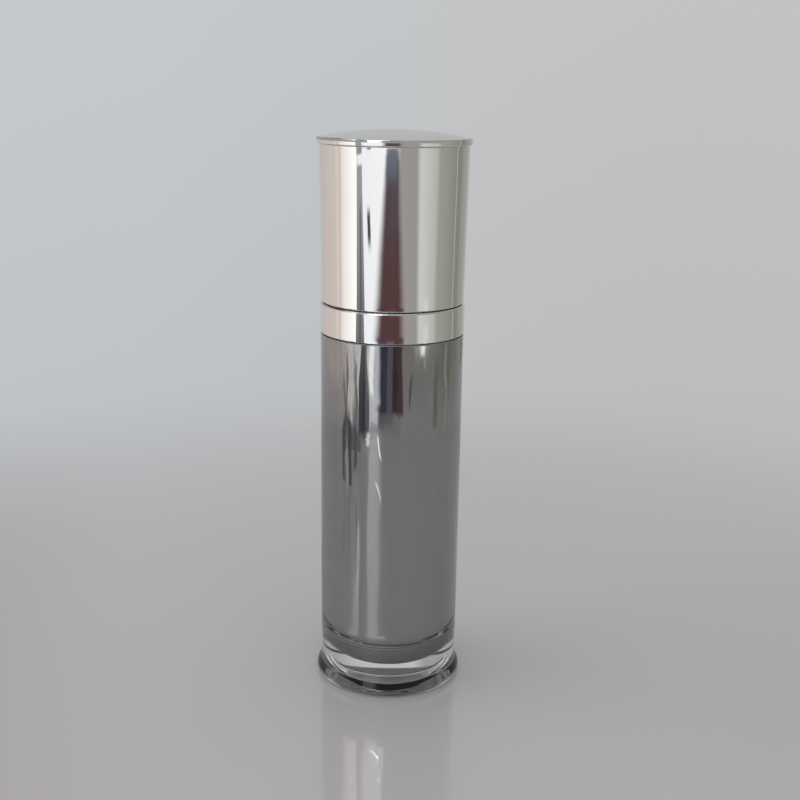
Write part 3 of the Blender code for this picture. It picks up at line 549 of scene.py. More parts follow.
@dataclass
class DoubleWallBottle:
    """Clear outer bottle with a flared foot, and the lacquered bottle inside it."""

    corner_centre: Pair = (6.0, 19.8)
    corner: float = 13.0
    wall: float = 1.2
    bond: float = 0.04
    inner_bottom: float = 6.8
    shoulder: float = 120.94
    clear_wall: Corners = (
        (18.96, 19.8, 0), (18.96, 120.64, 0.1), (20.26, 120.64, 0.25), (20.26, 115.45, 0.12), (22.5, 115.45, 0.3),
        (22.5, 20, 0))
    foot: tuple[Pair, ...] = (
        (22.5, 18), (22.5, 16), (22.38, 12.6), (22.2, 8.6), (22.28, 6.4), (22.72, 4.5), (23.3, 3.2), (23.68, 2.2),
        (23.81, 1.4))
    lip: Pair = (0.95, 1.4)
    recess: Corners = ((22.86, 0, 0), (13.4, 0, 0.12), (12.4, 3.6, 1), (0, 3.6, 0))
    neck_inside: Corners = (
        (17.8, 19.8, 0), (17.8, 120.94, 0.6), (7.3, 120.94, 0.5), (7.3, 136.34, 0.3), (8.9, 136.34, 0.4),
        (8.9, 135.34, 0))
    neck_outside: Corners = (
        (8.9, 127.084, 0), (8.9, 122.34, 0.5), (20.26, 122.34, 0.25), (20.26, 120.94, 0.25), (19, 120.94, 0.1),
        (19, 19.8, 0))
    thread: Thread = Thread(8.9, 128.584, 1.75, 1)

    def bottom(self, inset: float, *span: float, steps: int) -> Outline:
        """Points of a bottle's round bottom corner, moved in from the lacquered surface."""
        radius = self.corner - inset
        return arc(self.corner_centre, (radius, radius), *span, steps)

    def outer(self) -> Piece:
        """Build the clear bottle. Its hollow meets the lacquer, as no air film shows there."""
        outline = [(0, self.inner_bottom + self.bond), *self.bottom(self.bond, -90, 0, steps=20)]
        outline += rounded(self.clear_wall)[1:] + sweep(self.foot, 7)
        outline += arc((self.recess[0][0], self.lip[1]), self.lip, 0, -90, 14)[1:]
        outline += rounded(self.recess)[1:]
        return turned("bottle_clear", outline, OUTER_STEPS)

    def inner(self) -> Piece:
        """Build the lacquered bottle with its shoulder flange and threaded neck."""
        outline = [(0, self.inner_bottom + self.wall), *self.bottom(self.wall, -90, 0, steps=10)]
        outline += rounded(self.neck_inside)[1:] + self.thread.outline()
        outline += rounded(self.neck_outside) + self.bottom(0, 0, -90, steps=20)[1:]
        return turned("bottle_lacquered", [*outline, (0, self.inner_bottom)], OUTER_STEPS, self.thread.lay)

    def bare_inside(self, piece: Piece) -> None:
        """Leave the neck, the shoulder and the inside of the lacquered bottle bare."""
        for face in piece.data.polygons:
            centre = face.center / MM
            out = math.hypot(centre.x, centre.y) - self.corner_centre[0]
            down = self.corner_centre[1] - centre.z
            depth = self.corner - math.hypot(max(out, 0), max(down, 0))
            if centre.z > self.shoulder - 0.2 or depth > self.wall / 2:
                face.material_index = 1

    def build(self) -> None:
        """Build and dress both bottles. The lamps' light passes the clear one and reaches the table."""
        clear = fit(self.outer(), "outer_bottle", Body.BOTTLE, ACRYLIC)
        clear.visible_shadow = False
        inner = fit(self.inner(), "inner_bottle", Body.BOTTLE, LACQUER, NATURAL_PP)
        self.bare_inside(inner)


@dataclass
class Collar:
    """Bright ring between body and cap, over the liner that clamps the inner bottle."""

    sleeve: Corners = (
        (22.66, 125.04, 0.5), (22.66, 115.75, 0.12), (21.66, 115.75, 0.1), (21.66, 124.14, 0.1),
        (19.59, 124.14, 0.05), (19.59, 125.04, 0.15))
    liner: Corners = (
        (19.29, 131.04, 0.35), (19.29, 128.84, 0.3), (19.17, 128.44, 0.3), (19.17, 127.84, 0.3),
        (19.29, 127.44, 0.3), (19.29, 123.84, 0.1), (21.36, 123.84, 0.2), (21.36, 115.75, 0.1),
        (20.56, 115.75, 0.1), (20.56, 122.64, 0.1), (13.11, 122.64, 0.15), (13.11, 123.84, 0.15),
        (17.89, 123.84, 0.3), (17.89, 131.04, 0.35))

    def build(self) -> None:
        """Build and dress the bright sleeve, and the liner whose upstand carries the cap."""
        sleeve = rounded(self.sleeve, parts=8)
        lathe("collar_bright", "collar_sleeve", Body.BOTTLE, BRIGHT, sleeve, OUTER_STEPS)
        lathe("collar_liner_white", "collar_liner", Body.BOTTLE, WHITE_PP, rounded(self.liner), INNER_STEPS)


@dataclass
class Cap:
    """Tall bright cap: tapered shell, domed top with a rolled rim, and a plain liner."""

    shell: Corners = (
        (23.07, 173.14, 0.08), (22.34, 125.34, 0.28), (21.04, 125.34, 0.15), (21.75473, 172.14, 0.2),
        (16.8, 172.14, 0.1), (16.8, 173.14, 0.1))
    rim: Corners = (
        (23.28, 175.34, 0), (23.8, 175.22, 0.35), (23.9, 174.44, 0.8), (23.85, 173.22, 0.3), (16.5, 173.22, 0.15),
        (16.5, 172.14, 0.15), (15.3, 172.14, 0.15), (15.3, 175.14, 0))
    liner: Corners = (
        (0, 171.84, 0), (21.45015, 171.84, 0.5), (20.74916, 125.94, 0.25), (19.54916, 125.94, 0.4),
        (20.23182, 170.64, 0.8), (0, 170.64, 0))
    rise: float = 2.4
    top_wall: float = 1.6

    def dome(self, start: float, end: float, steps: int) -> Outline:
        """Points of the domed top between two radii."""
        edge, height, _ = self.rim[0]
        ball = (edge ** 2 + self.rise ** 2) / (2 * self.rise)
        centre = height + self.rise - ball
        return [(r, centre + math.sqrt(ball ** 2 - r ** 2)) for r in np.linspace(start, end, steps)]

    def build(self) -> None:
        """Build and dress the shell, the domed top, and the inner cup that grips the collar's upstand."""
        lathe("cap_bright", "cap_shell", Body.CAP, BRIGHT, rounded(self.shell, parts=7), OUTER_STEPS)
        top = self.dome(0, self.rim[0][0], 30) + rounded(self.rim, parts=7)[1:]
        top += [(r, z - self.top_wall) for r, z in self.dome(self.rim[-1][0], 0, 12)]
        lathe("cap_top_bright", "cap_top_disc", Body.CAP, BRIGHT, top, OUTER_STEPS)
        liner = rounded(self.liner)
        lathe("cap_liner_white", "cap_liner", Body.CAP, WHITE_PP, liner, INNER_STEPS)


@dataclass
class ScrewRing:
    """Screw closure of the pump, and the bright cover pressed over it."""

    closure: Corners = (
        (10.11, 125.497, 0), (10.11, 122.84, 0.3), (11.61, 122.84, 0.25), (11.61, 141.34, 0.3), (6.5, 141.34, 0.15),
        (6.5, 140.14, 0.15), (10.11, 140.14, 0.4), (10.11, 133.197, 0))
    cover: Corners = (
        (12.61, 142.34, 0.35), (12.61, 122.84, 0.12), (11.91, 122.84, 0.1), (11.91, 141.64, 0.2),
        (6.5, 141.64, 0.1), (6.5, 142.34, 0.12))
    thread: Thread = Thread(10.11, 126.997, 1.25, -1)

    def build(self) -> None:
        """Build and dress the closure with its inner thread, and its cover."""
        closure = rounded(self.closure) + self.thread.outline()
        lathe("closure_white", "closure", Body.SCREW_RING, WHITE_PP, closure, INNER_STEPS, self.thread.lay)
        cover = rounded(self.cover)
        lathe("closure_cover_bright", "closure_sleeve", Body.SCREW_RING, BRIGHT, cover, INNER_STEPS)


@dataclass
class PumpBody:
    """What stays with the neck: cylinder, its cap, washer, suction tube and spring."""

    housing: Corners = (
        (8.7, 138.74, 0.2), (8.7, 137.54, 0.2), (6.6, 137.54, 0.3), (6.6, 107.54, 0.5), (3.6, 105.54, 0.6),
        (3.6, 100.74, 0.3), (3.2, 99.64, 0.3), (3.2, 92.74, 0.2), (2.2, 92.74, 0.2), (2.2, 100.74, 0.12),
        (1.3, 100.74, 0.12), (1.3, 101.84, 0.12), (2.5, 103.04, 0.12), (2.5, 106.94, 0.12), (1.75, 106.94, 0.12),
        (1.75, 107.54, 0.12), (5.6, 107.54, 0.12), (5.6, 138.74, 0.12))
    cylinder_cap: Corners = (
        (6.2, 142.74, 0.3), (6.2, 139.94, 0.1), (8.7, 139.94, 0.2), (8.7, 138.94, 0.1), (5.4, 138.94, 0.1),
        (5.4, 134.44, 0.2), (3.4, 134.44, 0.15), (3.4, 142.74, 0.3))
    washer: Corners = ((8.7, 137.34, 0.12), (8.7, 136.54, 0.12), (6.8, 136.54, 0.12), (6.8, 137.34, 0.12))
    tube: Corners = ((2, 100.44, 0.1), (2, 9.2, 0.05), (1.4, 9.2, 0.05), (1.4, 100.44, 0.1))
    tube_slant: float = math.radians(25)
    wire: float = 0.4
    coil_radius: float = 4.1
    coil_span: Pair = (107.84, 127.34)
    coil_turns: int = 8
    turn_points: int = 40
    stroke: float = 8.0

    def slant(self, points: np.ndarray) -> np.ndarray:
        """Cut the tube's foot at a slant by lifting its lowest points."""
        radius, low, _ = self.tube[1]
        foot = points[:, 2] < low + 0.2
        lifted = points.copy()
        lifted[foot, 2] += (points[foot, 1] + radius) * math.tan(self.tube_slant)
        return lifted

    def spring(self) -> Piece:
        """Build the spring with closed end turns."""
        turns = self.coil_turns
        turn = np.linspace(0, turns, turns * self.turn_points + 1)
        low, high = self.coil_span[0] + self.wire, self.coil_span[1] - self.wire
        closed = 2.05 * self.wire
        height = np.interp(turn, [0, 1, turns - 1, turns], [low, low + closed, high - closed, high])
        soft = self.turn_points // 4
        eased = np.convolve(np.pad(height, soft, "edge"), np.ones(soft) / soft, "same")[soft:-soft]
        path = np.stack([self.coil_radius * np.cos(math.tau * turn), self.coil_radius * np.sin(math.tau * turn),
                         np.clip(eased, low, high)], 1)
        return tube_along("spring_steel", path, self.wire, 12)

    def build(self) -> None:
        """Build and dress the pump's standing pieces."""
        lathe("pump_cylinder_natural", "pump_housing", Body.PUMP, NATURAL_PP, rounded(self.housing))
        lathe("cylinder_cap_white", "housing_cap", Body.PUMP, WHITE_PP, rounded(self.cylinder_cap))
        lathe("washer_foam", "neck_gasket", Body.PUMP, FOAM, rounded(self.washer))
        tube = rounded(self.tube, parts=3)
        lathe("suction_tube_natural", "dip_tube", Body.PUMP, POLYETHYLENE, tube, SMALL_STEPS // 2, self.slant)
        spring = fit(self.spring(), "return_spring", Body.PUMP, STEEL)
        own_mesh(spring)


@dataclass
class InletValve:
    """The ball that rests on the cylinder's conical seat."""

    radius: float = 2.0
    height: float = 103.54

    def build(self) -> None:
        """Build and dress the ball."""
        outline = arc((0, self.height), (self.radius, self.radius), 90, -90, 32)
        outline[0], outline[-1] = (0, outline[0][1]), (0, outline[-1][1])
        lathe("ball_steel", "check_ball", Body.INLET_VALVE, STEEL, outline, 64)


@dataclass
class Plunger:
    """The waisted piston with a sealing lip at each end."""

    piston: Corners = (
        (5.4, 134.14, 0.15), (5.4, 132.94, 0.2), (4.8, 132.34, 0.3), (4.8, 130.94, 0.3), (5.4, 130.34, 0.2),
        (5.4, 129.14, 0.15), (2.1, 129.14, 0.2), (2.1, 134.14, 0.2))

    def build(self) -> None:
        """Build and dress the piston."""
        lathe("piston_natural", "piston", Body.PLUNGER, POLYETHYLENE, rounded(self.piston))


@dataclass
class PumpHead:
    """What the finger presses: bright head with its spout, core, stem and valve rod."""

    radius: float = 9.8
    bottom: float = 151.34
    top: float = 165.34
    wall: float = 0.7
    round_edge: float = 1.4
    dish: float = 0.5
    spout_height: float = 160.34
    socket: float = 2.3
    socket_depth: float = 4.5
    core: Corners = (
        (0, 163.84, 0), (8.8, 163.84, 0.3), (8.8, 151.34, 0.15), (7.8, 151.34, 0.15), (7.8, 157.04, 0.15),
        (4.7, 157.04, 0.15), (4.7, 151.84, 0.15), (3.4, 151.84, 0.15), (3.4, 157.04, 0.15), (1.3, 157.04, 0.15),
        (1.3, 160.34, 0.15), (0, 160.34, 0))
    nozzle: Corners = (
        (2.4, 17.44, 0.3), (3, 10.1, 0.2), (2.1, 10.1, 0.1), (2.1, 5.6, 0.2), (1.1, 5.6, 0.1), (1.1, 17.44, 0.25))
    stem: Corners = ((3.2, 156.74, 0.2), (3.2, 134.44, 0.2), (2.1, 134.44, 0.15), (2.1, 156.74, 0.15))
    rod: Corners = (
        (0, 146.14, 0), (0.5, 146.14, 0.2), (1.6, 144.54, 0.4), (1.6, 128.84, 0.3), (4.6, 128.84, 0.2),
        (4.6, 127.64, 0.2), (0, 127.64, 0))

    def cover(self) -> Piece:
        """Build the bright cover with a shallow dish for the finger and the spout's hole."""
        inside, flat = self.radius - self.wall, self.radius - self.round_edge
        shoulder, ceiling = self.top - self.round_edge, self.top - self.dish - self.wall
        outline = [(flat * s, self.top - self.dish * (1 + math.cos(math.pi * s)) / 2) for s in np.linspace(0, 1, 14)]
        outline += arc((flat, shoulder), (self.round_edge, self.round_edge), 90, 0, 10)[1:]
        outline += [(self.radius, z) for z in np.linspace(shoulder, self.bottom + 0.2, 24)[1:]]
        outline += rounded([(self.radius, self.bottom + 0.3, 0), (self.radius, self.bottom, 0.15),
                            (inside, self.bottom, 0.15), (inside, self.bottom + 0.5, 0)])[1:]
        outline += [(inside, z) for z in np.linspace(self.bottom + 0.6, ceiling, 20)]
        cover = turned("head_cover_bright", [*outline, (0, ceiling)], INNER_STEPS)
        return bored(cover, self.socket, self.spout_height, inside - 2, self.radius + 2)

    def spout(self) -> Piece:
        """Build the tapered spout with its bore and a rounded mouth."""
        spout = turned("spout_white", rounded(self.nozzle), SMALL_STEPS)
        spout.data.transform(Matrix.Translation((0, 0, self.spout_height * MM)) @ FORWARD)
        return spout

    def build(self) -> None:
        """Build and dress the head. Its core has the stem's socket, the channel and the spout's socket."""
        fit(self.cover(), "actuator_shell", Body.HEAD, BRIGHT)
        core = turned("head_core_white", rounded(self.core), SMALL_STEPS)
        front = self.core[1][0] + 2
        bored(core, self.socket, self.spout_height, self.radius - self.socket_depth, front)
        bored(core, self.nozzle[-1][0], self.spout_height, 0, front)
        fit(core, "actuator_core", Body.HEAD, WHITE_PP)
        fit(self.spout(), "spout", Body.HEAD, WHITE_PP)
        lathe("stem_white", "stem", Body.HEAD, WHITE_PP, rounded(self.stem))
        lathe("valve_rod_white", "valve_rod", Body.HEAD, WHITE_PP, rounded(self.rod))


# ---- The studio ----

CARD_GRID = (24, 8)  # columns, rows
CLOSE_BY = 1.0  # a card nearer than this many metres shows only to rays past this depth
INSIDE_GLASS = 2.5
RAG_SCALE = (0.3, 5.0, 1.0)
RAG_SHIFT = 90
RAG_REACH = (2.0, 0.6)
FOLD_SPAN = (0.35, 0.65)
FOLD_DEPTH = 0.35


@dataclass(frozen=True)
class Card:
    """A studio card that stands round the bottle and shows only in its mirrors and glass.

    Its edges are the azimuths of its left and right side, in degrees rightwards from the camera's
    side, and again at its head where they lean. Its span is in degrees from level, its distance in
    metres. Its soft sides and soft ends are shares of its width and height, one share for both or
    two of them, and its two tones run from its left or foot.
    """

    name: str
    tones: str
    edges: tuple[float, ...]
    span: Pair
    glow: float = 1.0
    distance: float = 1.6
    soft: Union[float, Pair] = 0.06
    soft_ends: Union[float, Pair] = 0.05
    upright: bool = False
    folds: float = 0.0
    ragged: float = 0.0

    def mesh(self, centre_height: float) -> Piece:
        """Build the bent card with its own grid of shares across and up."""
        columns, rows = CARD_GRID
        points, shares = [], []
        spans = (*zip(self.edges[:2], self.edges[-2:]), self.span)
        for row in range(rows + 1):
            up = row / rows
            left, right, elevation = (low + (high - low) * up for low, high in spans)
            for column in range(columns + 1):
                across = column / columns
                azimuth = math.radians(left + (right - left) * across)
                points.append((self.distance * math.sin(azimuth), -self.distance * math.cos(azimuth),
                               centre_height + self.distance * math.tan(math.radians(elevation))))
                shares.append((across, up))
        wide = columns + 1
        faces = [(r * wide + c, r * wide + c + 1, (r + 1) * wide + c + 1, (r + 1) * wide + c)
                 for r in range(rows) for c in range(columns)]
        card = mesh_piece("card_" + self.name, np.array(points), faces, smooth=False)
        layer = card.data.uv_layers.new(name="shares")
        for loop in card.data.loops:
            layer.data[loop.index].uv = shares[loop.vertex_index]
        return card

    def material(self) -> bpy.types.Material:
        """Make the card's glowing paper: one tone runs into the other, and its edges are soft.

        A card close by shows only behind the clear bottle's wall, and not as a patch on the table.
        """
        material = bpy.data.materials.new("card_" + self.name)
        material.use_nodes = True
        tree = material.node_tree
        tree.nodes.clear()
        shares = add_node(tree, "SeparateXYZ", {0: add_node(tree, "TexCoord").outputs["UV"]})
        across, up = shares.outputs["X"], shares.outputs["Y"]
        if self.ragged:
            shift = maths(tree, "SUBTRACT", noise(tree, "UV", RAG_SCALE, 2.0, self.distance * RAG_SHIFT), 0.5)
            across, up = (maths(tree, "MULTIPLY_ADD", shift, self.ragged * reach, share)
                          for share, reach in zip((across, up), RAG_REACH))
        cover: Any = None
        for share, ends in ((across, self.soft), (up, self.soft_ends)):
            near, far = ends if isinstance(ends, tuple) else (ends, ends)
            for span in ((0.0, near), (1.0, 1.0 - far)):
                fade = remap(tree, share, span, soft=True)
                cover = maths(tree, "MULTIPLY", cover, fade) if cover else fade
        if self.distance < CLOSE_BY:
            inside = maths(tree, "GREATER_THAN", add_node(tree, "LightPath").outputs["Ray Depth"], INSIDE_GLASS)
            cover = maths(tree, "MULTIPLY", cover, inside)
        run = remap(tree, up if self.upright else across, soft=True)
        if self.folds:
            folds = noise(tree, "UV", (self.folds, 0.8, 1.0), 3.0)
            run = maths(tree, "ADD", run, remap(tree, folds, FOLD_SPAN, (-FOLD_DEPTH, FOLD_DEPTH)), clamp=True)
        first, last = map(linear, self.tones.split())
        tone = add_node(tree, "Mix", {0: run, 6: first, 7: last}, data_type="RGBA")
        light = add_node(tree, "Emission", {"Color": tone.outputs[2], "Strength": self.glow})
        mix = add_node(tree, "MixShader", {0: cover, 1: add_node(tree, "BsdfTransparent"), 2: light})
        add_node(tree, "OutputMaterial", {"Surface": mix})
        return material

    def build(self, centre_height: float) -> None:
        """Build the card, light it and hide it from everything but mirrors and glass."""
        card = self.mesh(centre_height)
        card.data.materials.append(self.material())
        card.visible_camera = card.visible_diffuse = card.visible_shadow = False


# The window and its cross bars are bright, and the room beside and in front of it is dull.
CARDS = (
    Card("cream_wall", "C6BFBF D9CCC5", (-162, -100), (-24, 0), 1, 1.95, (0.3, 0.1), (0.05, 0.1)),
    Card("cream_light", "DDD1C9 F0E5DF", (-106, -78), (-24, 0), 1, 1.9, (0.3, 0.05), (0.05, 0.1)),
    Card("curtain_edge", "D0C4C0 D6CBC7", (-93, -87.5), (-24, 0), 1, 1.8, 0.4),
    Card("window_side", "E8E0DC FFFFFF", (-91, -56, -91, -57), (-16.7, 0), 1.2, 1.7, (0.3, 0.05), (0.02, 0.1),
         ragged=0.08),
    Card("coat_stand", "5A5052 7A6E6C", (-90, -80, -87, -84), (-18.5, -13), 1, 1.65, 0.35, (0.2, 0.3), ragged=0.25),
    Card("side_shade", "A29A98 A8A09C", (-76, -58, -70, -62), (-17.2, -12), 1, 1.64, (0.4, 0.3), (0.1, 0.4),
         ragged=0.3),
    Card("low_shelf", "78767C 7E7C80", (-92, -48), (-20, -16.6), 1, 1.62, (0.15, 0.1), (0.05, 0.3), folds=4,
         ragged=0.2),
    Card("post", "5A5A60 A6A6A8", (-59.5, -40, -58, -49), (-18, -3.65), 1, 1.6, (0.06, 0.1), 0.02, upright=True),
    Card("post_bar", "505054 70707A", (-52.5, -48.5, -54, -50), (-18, -5.5), 1, 1.58, 0.3, (0.02, 0.1), upright=True),
    Card("post_top", "9A9A9E 9C9C9E", (-59, -49), (-3.25, 2), 1, 1.6, 0.1, (0.03, 0.1)),
    Card("window_front", "F6F8FF FFFFFF", (-58, 4), (-17.6, 0), 1.1, 1.66, (0.04, 0.05), (0.012, 0.1)),
    Card("window_gap", "FFFFFF FBFAFF", (-41, -30, -42, -32), (-16.3, -12.7), 2, 1.62, 0.3, (0.3, 0.1), ragged=0.3),
    Card("ceiling_left", "A29C9A A8A4A2", (-165, -58), (-1, 60), 1, 1.95, (0.1, 0.05)),
    Card("ceiling_front", "9C9C9E 98989A", (-62, 12), (-1, 60), 1, 1.9, 0.05),
    Card("window_above", "FFFDFF F4F4F8", (-41, -15), (2, 56), 1.6, 1.66, (0.1, 0.35)),
    Card("window_slit", "FFF2EC C8BCB8", (-65.5, -59, -80, -56), (14.6, 23.8), 3.6, 1.64, (0.8, 0.1), (0.12, 0.25),
         upright=True),
    Card("window_catch", "46464A 5A5A5E", (-39.5, -33, -42, -36), (-9.1, -5.9), 1, 1.5, 0.25, (0.4, 0.3),
         ragged=0.15),
    Card("window_lock", "3A3A3E 4A4A4E", (-42, -34), (-3, -2.3), 1, 1.5, 0.25, 0.25),
    Card("flag_mauve", "5A4040 5C525A", (-34, 22, -14, 9), (-12.6, -2.6), 1, 1.4, (0.3, 0.25), (0.02, 0.1),
         upright=True, folds=6, ragged=0.04),
    Card("flag_slate", "60646F 727886", (-16, 9, -14, 7), (-5.4, -2.6), 1, 1.39, 0.25, (0.5, 0.1), upright=True,
         ragged=0.05),
    Card("flag_navy", "484A5E 52546A", (-25, -4, -28, -4), (-17.3, -12.2), 1, 1.42, (0.35, 0.15), (0.1, 0.02),
         folds=3, ragged=0.06),
    Card("flag_grey", "75757A 727076", (-8, 9, -8, 8), (-17.5, -12.2), 1, 1.41, 0.15, (0.1, 0.02), ragged=0.06),
    Card("flag_maroon", "4A4044 6E585C", (4, 21, 3, 20), (-17.2, -12.2), 1, 1.4, (0.12, 0.3), (0.1, 0.02), folds=3,
         ragged=0.06),
    Card("flag_shade", "7E7E84 88888A", (-27, 18, -27, 16), (-20, -16), 1, 1.45, (0.12, 0.4), (0.05, 0.15),
         ragged=0.1),
    Card("wall_right", "A6A09E 9C9C98", (6, 82), (-24, 60), 1, 1.85, (0.06, 0.1)),
    Card("pale_panel", "D9DAD6 BDBDB7", (37, 78, 31, 78), (-14.6, -1), 1, 1.75, (0.2, 0.3), (0.16, 0.1)),
    Card("low_lamp", "FFFFFF FFFFFF", (52, 56, 45, 61), (-14.4, -12.5), 1.9, 1.5, 0.3, (0.3, 0.2)),
    Card("bright_spot", "DEDEDC DEDEDC", (46, 62, 46, 60), (-12.6, -11), 1, 1.5, 0.45, (0.3, 0.6)),
    Card("slim_post", "5E5E5E 6A6A6A", (31, 34.5, 34, 37.5), (-15.8, -14.2), 1, 1.6, 0.3, 0.3),
    Card("chair_back", "82827C 84847E", (78, 94, 74, 98), (-18.4, -12.4), 1, 1.6, 0.3, (0.15, 0.4), ragged=0.1),
    Card("olive_wall", "A4A69D 8B8A83", (68, 126), (-24, 60), 1, 1.7, (0.22, 0.1)),
    Card("thin_rail", "B9B6AE B9B6AE", (108, 111), (-24, 34), soft=0.3),
    Card("grey_wall", "98978F B2B2B2", (116, 166), (-24, 34), 1, 1.9, (0.1, 0.4)),
    Card("floor_left", "B2AFAE ACA9A8", (-168, -88), (-24, -12.8), 1, 1.615, 0.1, (0.02, 0.48)),
    Card("floor_right", "A8A8A6 A6A6A4", (8, 168), (-24, -13.6), 1, 1.615, (0.05, 0.1), (0.02, 0.42)),
    Card("beam", "564644 6E605E", (-156, -48), (27, 48), 1, 1.6, (0.1, 0.5), 0.15),
    Card("strip_left", "D2C6C2 FFF8F4", (-95, -59, -95, -61), (26.9, 36), 3.7, 1.57, (0.5, 0.08), (0.08, 0.2),
         ragged=0.06),
    Card("strip_right", "F4F0F2 FFFFFF", (-49, -6, -50, -6), (27, 40), 3, 1.58, (0.1, 0.08), (0.08, 0.2)),
    Card("strip_glint", "FFFFFF FFFFFF", (-33, -29, -17, -13), (28.1, 29.4), 32, 1.5, 0.3, 0.15),
    Card("strip_spot", "FFFFFF FFFFFF", (-38, -28, -32, -24), (27.1, 27.65), 30, 1.5, 0.4, 0.2),
    Card("plinth", "727074 7E7C80", (-96, -50), (-27.5, -22.6), 1, 0.27, 0.15, (0.4, 0.3), folds=5, ragged=0.1),
    Card("bar_outer", "565456 686668", (-92, -82, -90, -84), (-31.5, -18), 1, 0.21, 0.4, (0.06, 0.3), folds=3,
         ragged=0.3),
    Card("bar_middle", "4A484C 5C5A5E", (-80, -70, -82, -71), (-32.5, -21), 1, 0.213, (0.4, 0.35), (0.04, 0.3),
         folds=2, ragged=0.35),
    Card("bar_light", "DAD8D6 C8C6C4", (-83, -80, -84, -82), (-33, -24), 1, 0.208, 0.4, (0.1, 0.5), ragged=0.7),
    Card("bar_inner", "5A585C 6E6C70", (-68, -60, -66, -61), (-30, -22), 1, 0.215, 0.4, (0.1, 0.4), folds=2,
         ragged=0.35),
    Card("glint_left", "FFFFFF F4F0EE", (-43, -35, -44, -36), (-30.4, -28), 1.7, 0.15, 0.4, 0.35, ragged=0.7),
    Card("glint_high", "FFFFFF F2F2F6", (-17.2, -14, -25.6, -22.6), (-32.4, -28.4), 2.4, 0.15, 0.35, (0.2, 0.3),
         ragged=0.25),
    Card("glint_low", "FFFFFF F2F2F6", (-17.6, -15, -25.8, -23.6), (-37.2, -34), 1.8, 0.15, 0.35, 0.3, ragged=0.25),
)


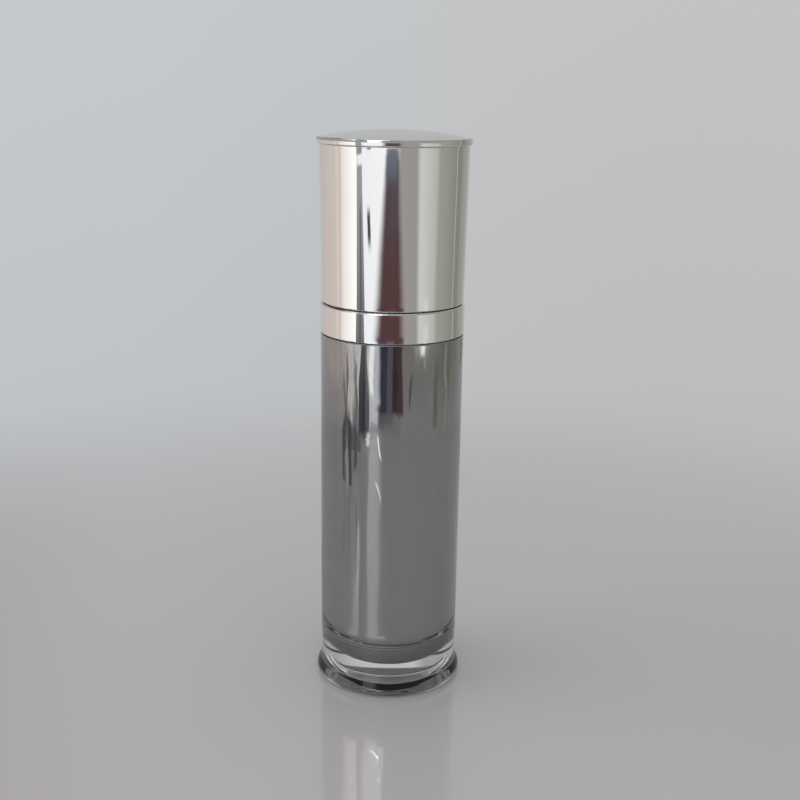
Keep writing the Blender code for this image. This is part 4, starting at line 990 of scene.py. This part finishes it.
@dataclass
class Studio:
    """Pale glossy table, soft backdrop, lamps and the cards that the mirrors show."""

    table_radius: float = 600.0
    table_height: float = -0.1
    table_colour: str = "B4B1B2"
    coat_roughness: Pair = (0.004, 0.03)
    clouds: float = 14.0
    seen_fade: Pair = (0.14, 0.42)
    mirrored_fade: Pair = (0.295, 0.33)
    card_height: float = 0.13
    wall_colours: tuple[str, str] = ("C6CACE", "C2C3C4")
    wall_run: Pair = (-0.35, 0.25)
    below: Pair = (-0.3, 0.06)
    below_dimmed: Pair = (0.92, 1.0)
    above: Pair = (0.07, 0.16)
    above_dimmed: Pair = (1.0, 0.93)
    plain_light: float = 0.75

    def table(self) -> None:
        """Build the table, whose painted top has a glossy coat and fades into the backdrop far away."""
        outline: Outline = [(float(r), self.table_height) for r in np.linspace(0, self.table_radius, 25)]
        table = turned("table_top", outline, 128)
        material = bpy.data.materials.new("table_painted")
        material.use_nodes = True
        tree = material.node_tree
        shader = tree.nodes["Principled BSDF"]
        place = add_node(tree, "TexCoord").outputs["Object"]
        cloud = add_node(tree, "TexNoise", {"Vector": place, "Scale": self.clouds, "Detail": 3.0})
        for name, value in {"Base Color": linear(self.table_colour), "IOR": 1.5, "Roughness": 0.3, "Coat Weight": 1.0,
                            "Coat Roughness": remap(tree, cloud, NOISE_SPAN, self.coat_roughness)}.items():
            feed(shader, name, value)
        distance = add_node(tree, "VectorMath", {0: place}, operation="LENGTH").outputs["Value"]
        mirrored, seen = (remap(tree, distance, span, soft=True) for span in (self.mirrored_fade, self.seen_fade))
        camera = add_node(tree, "LightPath").outputs["Is Camera Ray"]
        fade = add_node(tree, "Mix", {0: camera, 2: mirrored, 3: seen})
        mix = add_node(tree, "MixShader", {0: fade, 1: shader, 2: add_node(tree, "BsdfTransparent")})
        feed(tree.nodes["Material Output"], "Surface", mix)
        table.data.materials.append(material)

    def backdrop(self) -> None:
        """Make the world: a soft backdrop for eyes, mirrors and glass, and plain light for the rest."""
        world = bpy.data.worlds.new("studio")
        bpy.context.scene.world = world
        world.use_nodes = True
        tree = world.node_tree
        tree.nodes.clear()
        parts = add_node(tree, "SeparateXYZ", {0: add_node(tree, "TexCoord").outputs["Generated"]})
        left, right = (linear(colour) for colour in self.wall_colours)
        run = remap(tree, parts.outputs["X"], self.wall_run, soft=True)
        wall = add_node(tree, "Mix", {0: run, 6: left, 7: right}, data_type="RGBA")
        strength = maths(tree, "MULTIPLY", remap(tree, parts.outputs["Z"], self.below, self.below_dimmed),
                         remap(tree, parts.outputs["Z"], self.above, self.above_dimmed))
        rays = add_node(tree, "LightPath").outputs
        seen = maths(tree, "MAXIMUM", rays["Is Camera Ray"], rays["Is Glossy Ray"])
        seen = maths(tree, "MAXIMUM", seen, rays["Is Transmission Ray"])
        direct = maths(tree, "SUBTRACT", 1.0, rays["Diffuse Depth"], clamp=True)
        plain = add_node(tree, "Background", {"Color": linear("FFFFFF"), "Strength": self.plain_light})
        view = add_node(tree, "Background", {"Color": wall.outputs[2], "Strength": strength})
        mix = add_node(tree, "MixShader", {0: maths(tree, "MULTIPLY", seen, direct), 1: plain, 2: view})
        add_node(tree, "OutputWorld", {"Surface": mix})
        world.cycles.sampling_method = "NONE"

    def lamp(self, name: str, place: Sequence[float], size: float, power: float) -> None:
        """Hang one soft square lamp that looks at the bottle and shows in no mirror."""
        light = bpy.data.lights.new(name, "AREA")
        light.size = size
        light.energy = power
        holder = bpy.data.objects.new(name, light)
        holder.location = place
        holder.rotation_mode = "QUATERNION"
        holder.rotation_quaternion = (Vector(place) - Vector((0, 0, 0.06))).to_track_quat("Z", "Y")
        holder.visible_glossy = holder.visible_transmission = holder.visible_camera = False
        bpy.context.scene.collection.objects.link(holder)

    def build(self) -> None:
        """Set up table, backdrop, lamps and cards."""
        self.table()
        self.backdrop()
        self.lamp("lamp_left", (-1.15, -0.1, 1.1), 1.2, 5.0)
        self.lamp("lamp_front", (0.5, -1.2, 1.5), 1.2, 2.5)
        for card in CARDS:
            card.build(self.card_height)
        LOG.info("studio with %d cards", len(CARDS))


@dataclass(frozen=True)
class Viewpoint:
    """Where the photographer's lens stood, and where it looked."""

    distance: float = 362.13 * MM
    height: float = 189.88 * MM
    pitch: float = math.radians(15.003)
    yaw: float = math.radians(-0.4407)
    roll: float = math.radians(-0.8808)
    lens: float = 52.62

    def build(self) -> None:
        """Set up the camera."""
        data = bpy.data.cameras.new("camera")
        data.lens = self.lens
        data.sensor_width = 36.0
        data.clip_start, data.clip_end = 0.01, 20.0
        camera = bpy.data.objects.new("camera", data)
        place = Matrix.Translation((0, -self.distance, self.height)) @ Matrix.Rotation(self.yaw, 4, "Z")
        place = place @ Matrix.Rotation(math.pi / 2 - self.pitch, 4, "X") @ Matrix.Rotation(-self.roll, 4, "Z")
        camera.matrix_world = place
        bpy.context.scene.collection.objects.link(camera)
        bpy.context.scene.camera = camera


def main() -> None:
    """Build the bottle, the studio and the camera."""
    logging.basicConfig(level=logging.INFO, format="%(message)s")
    bpy.context.scene.view_settings.view_transform = "Standard"
    Viewpoint().build()
    for assembly in (DoubleWallBottle(), Collar(), Cap(), ScrewRing(), PumpBody(), InletValve(), Plunger(),
                     PumpHead()):
        assembly.build()
        LOG.info("%s is done", type(assembly).__name__)
    Studio().build()


if __name__ == "__main__":
    main()
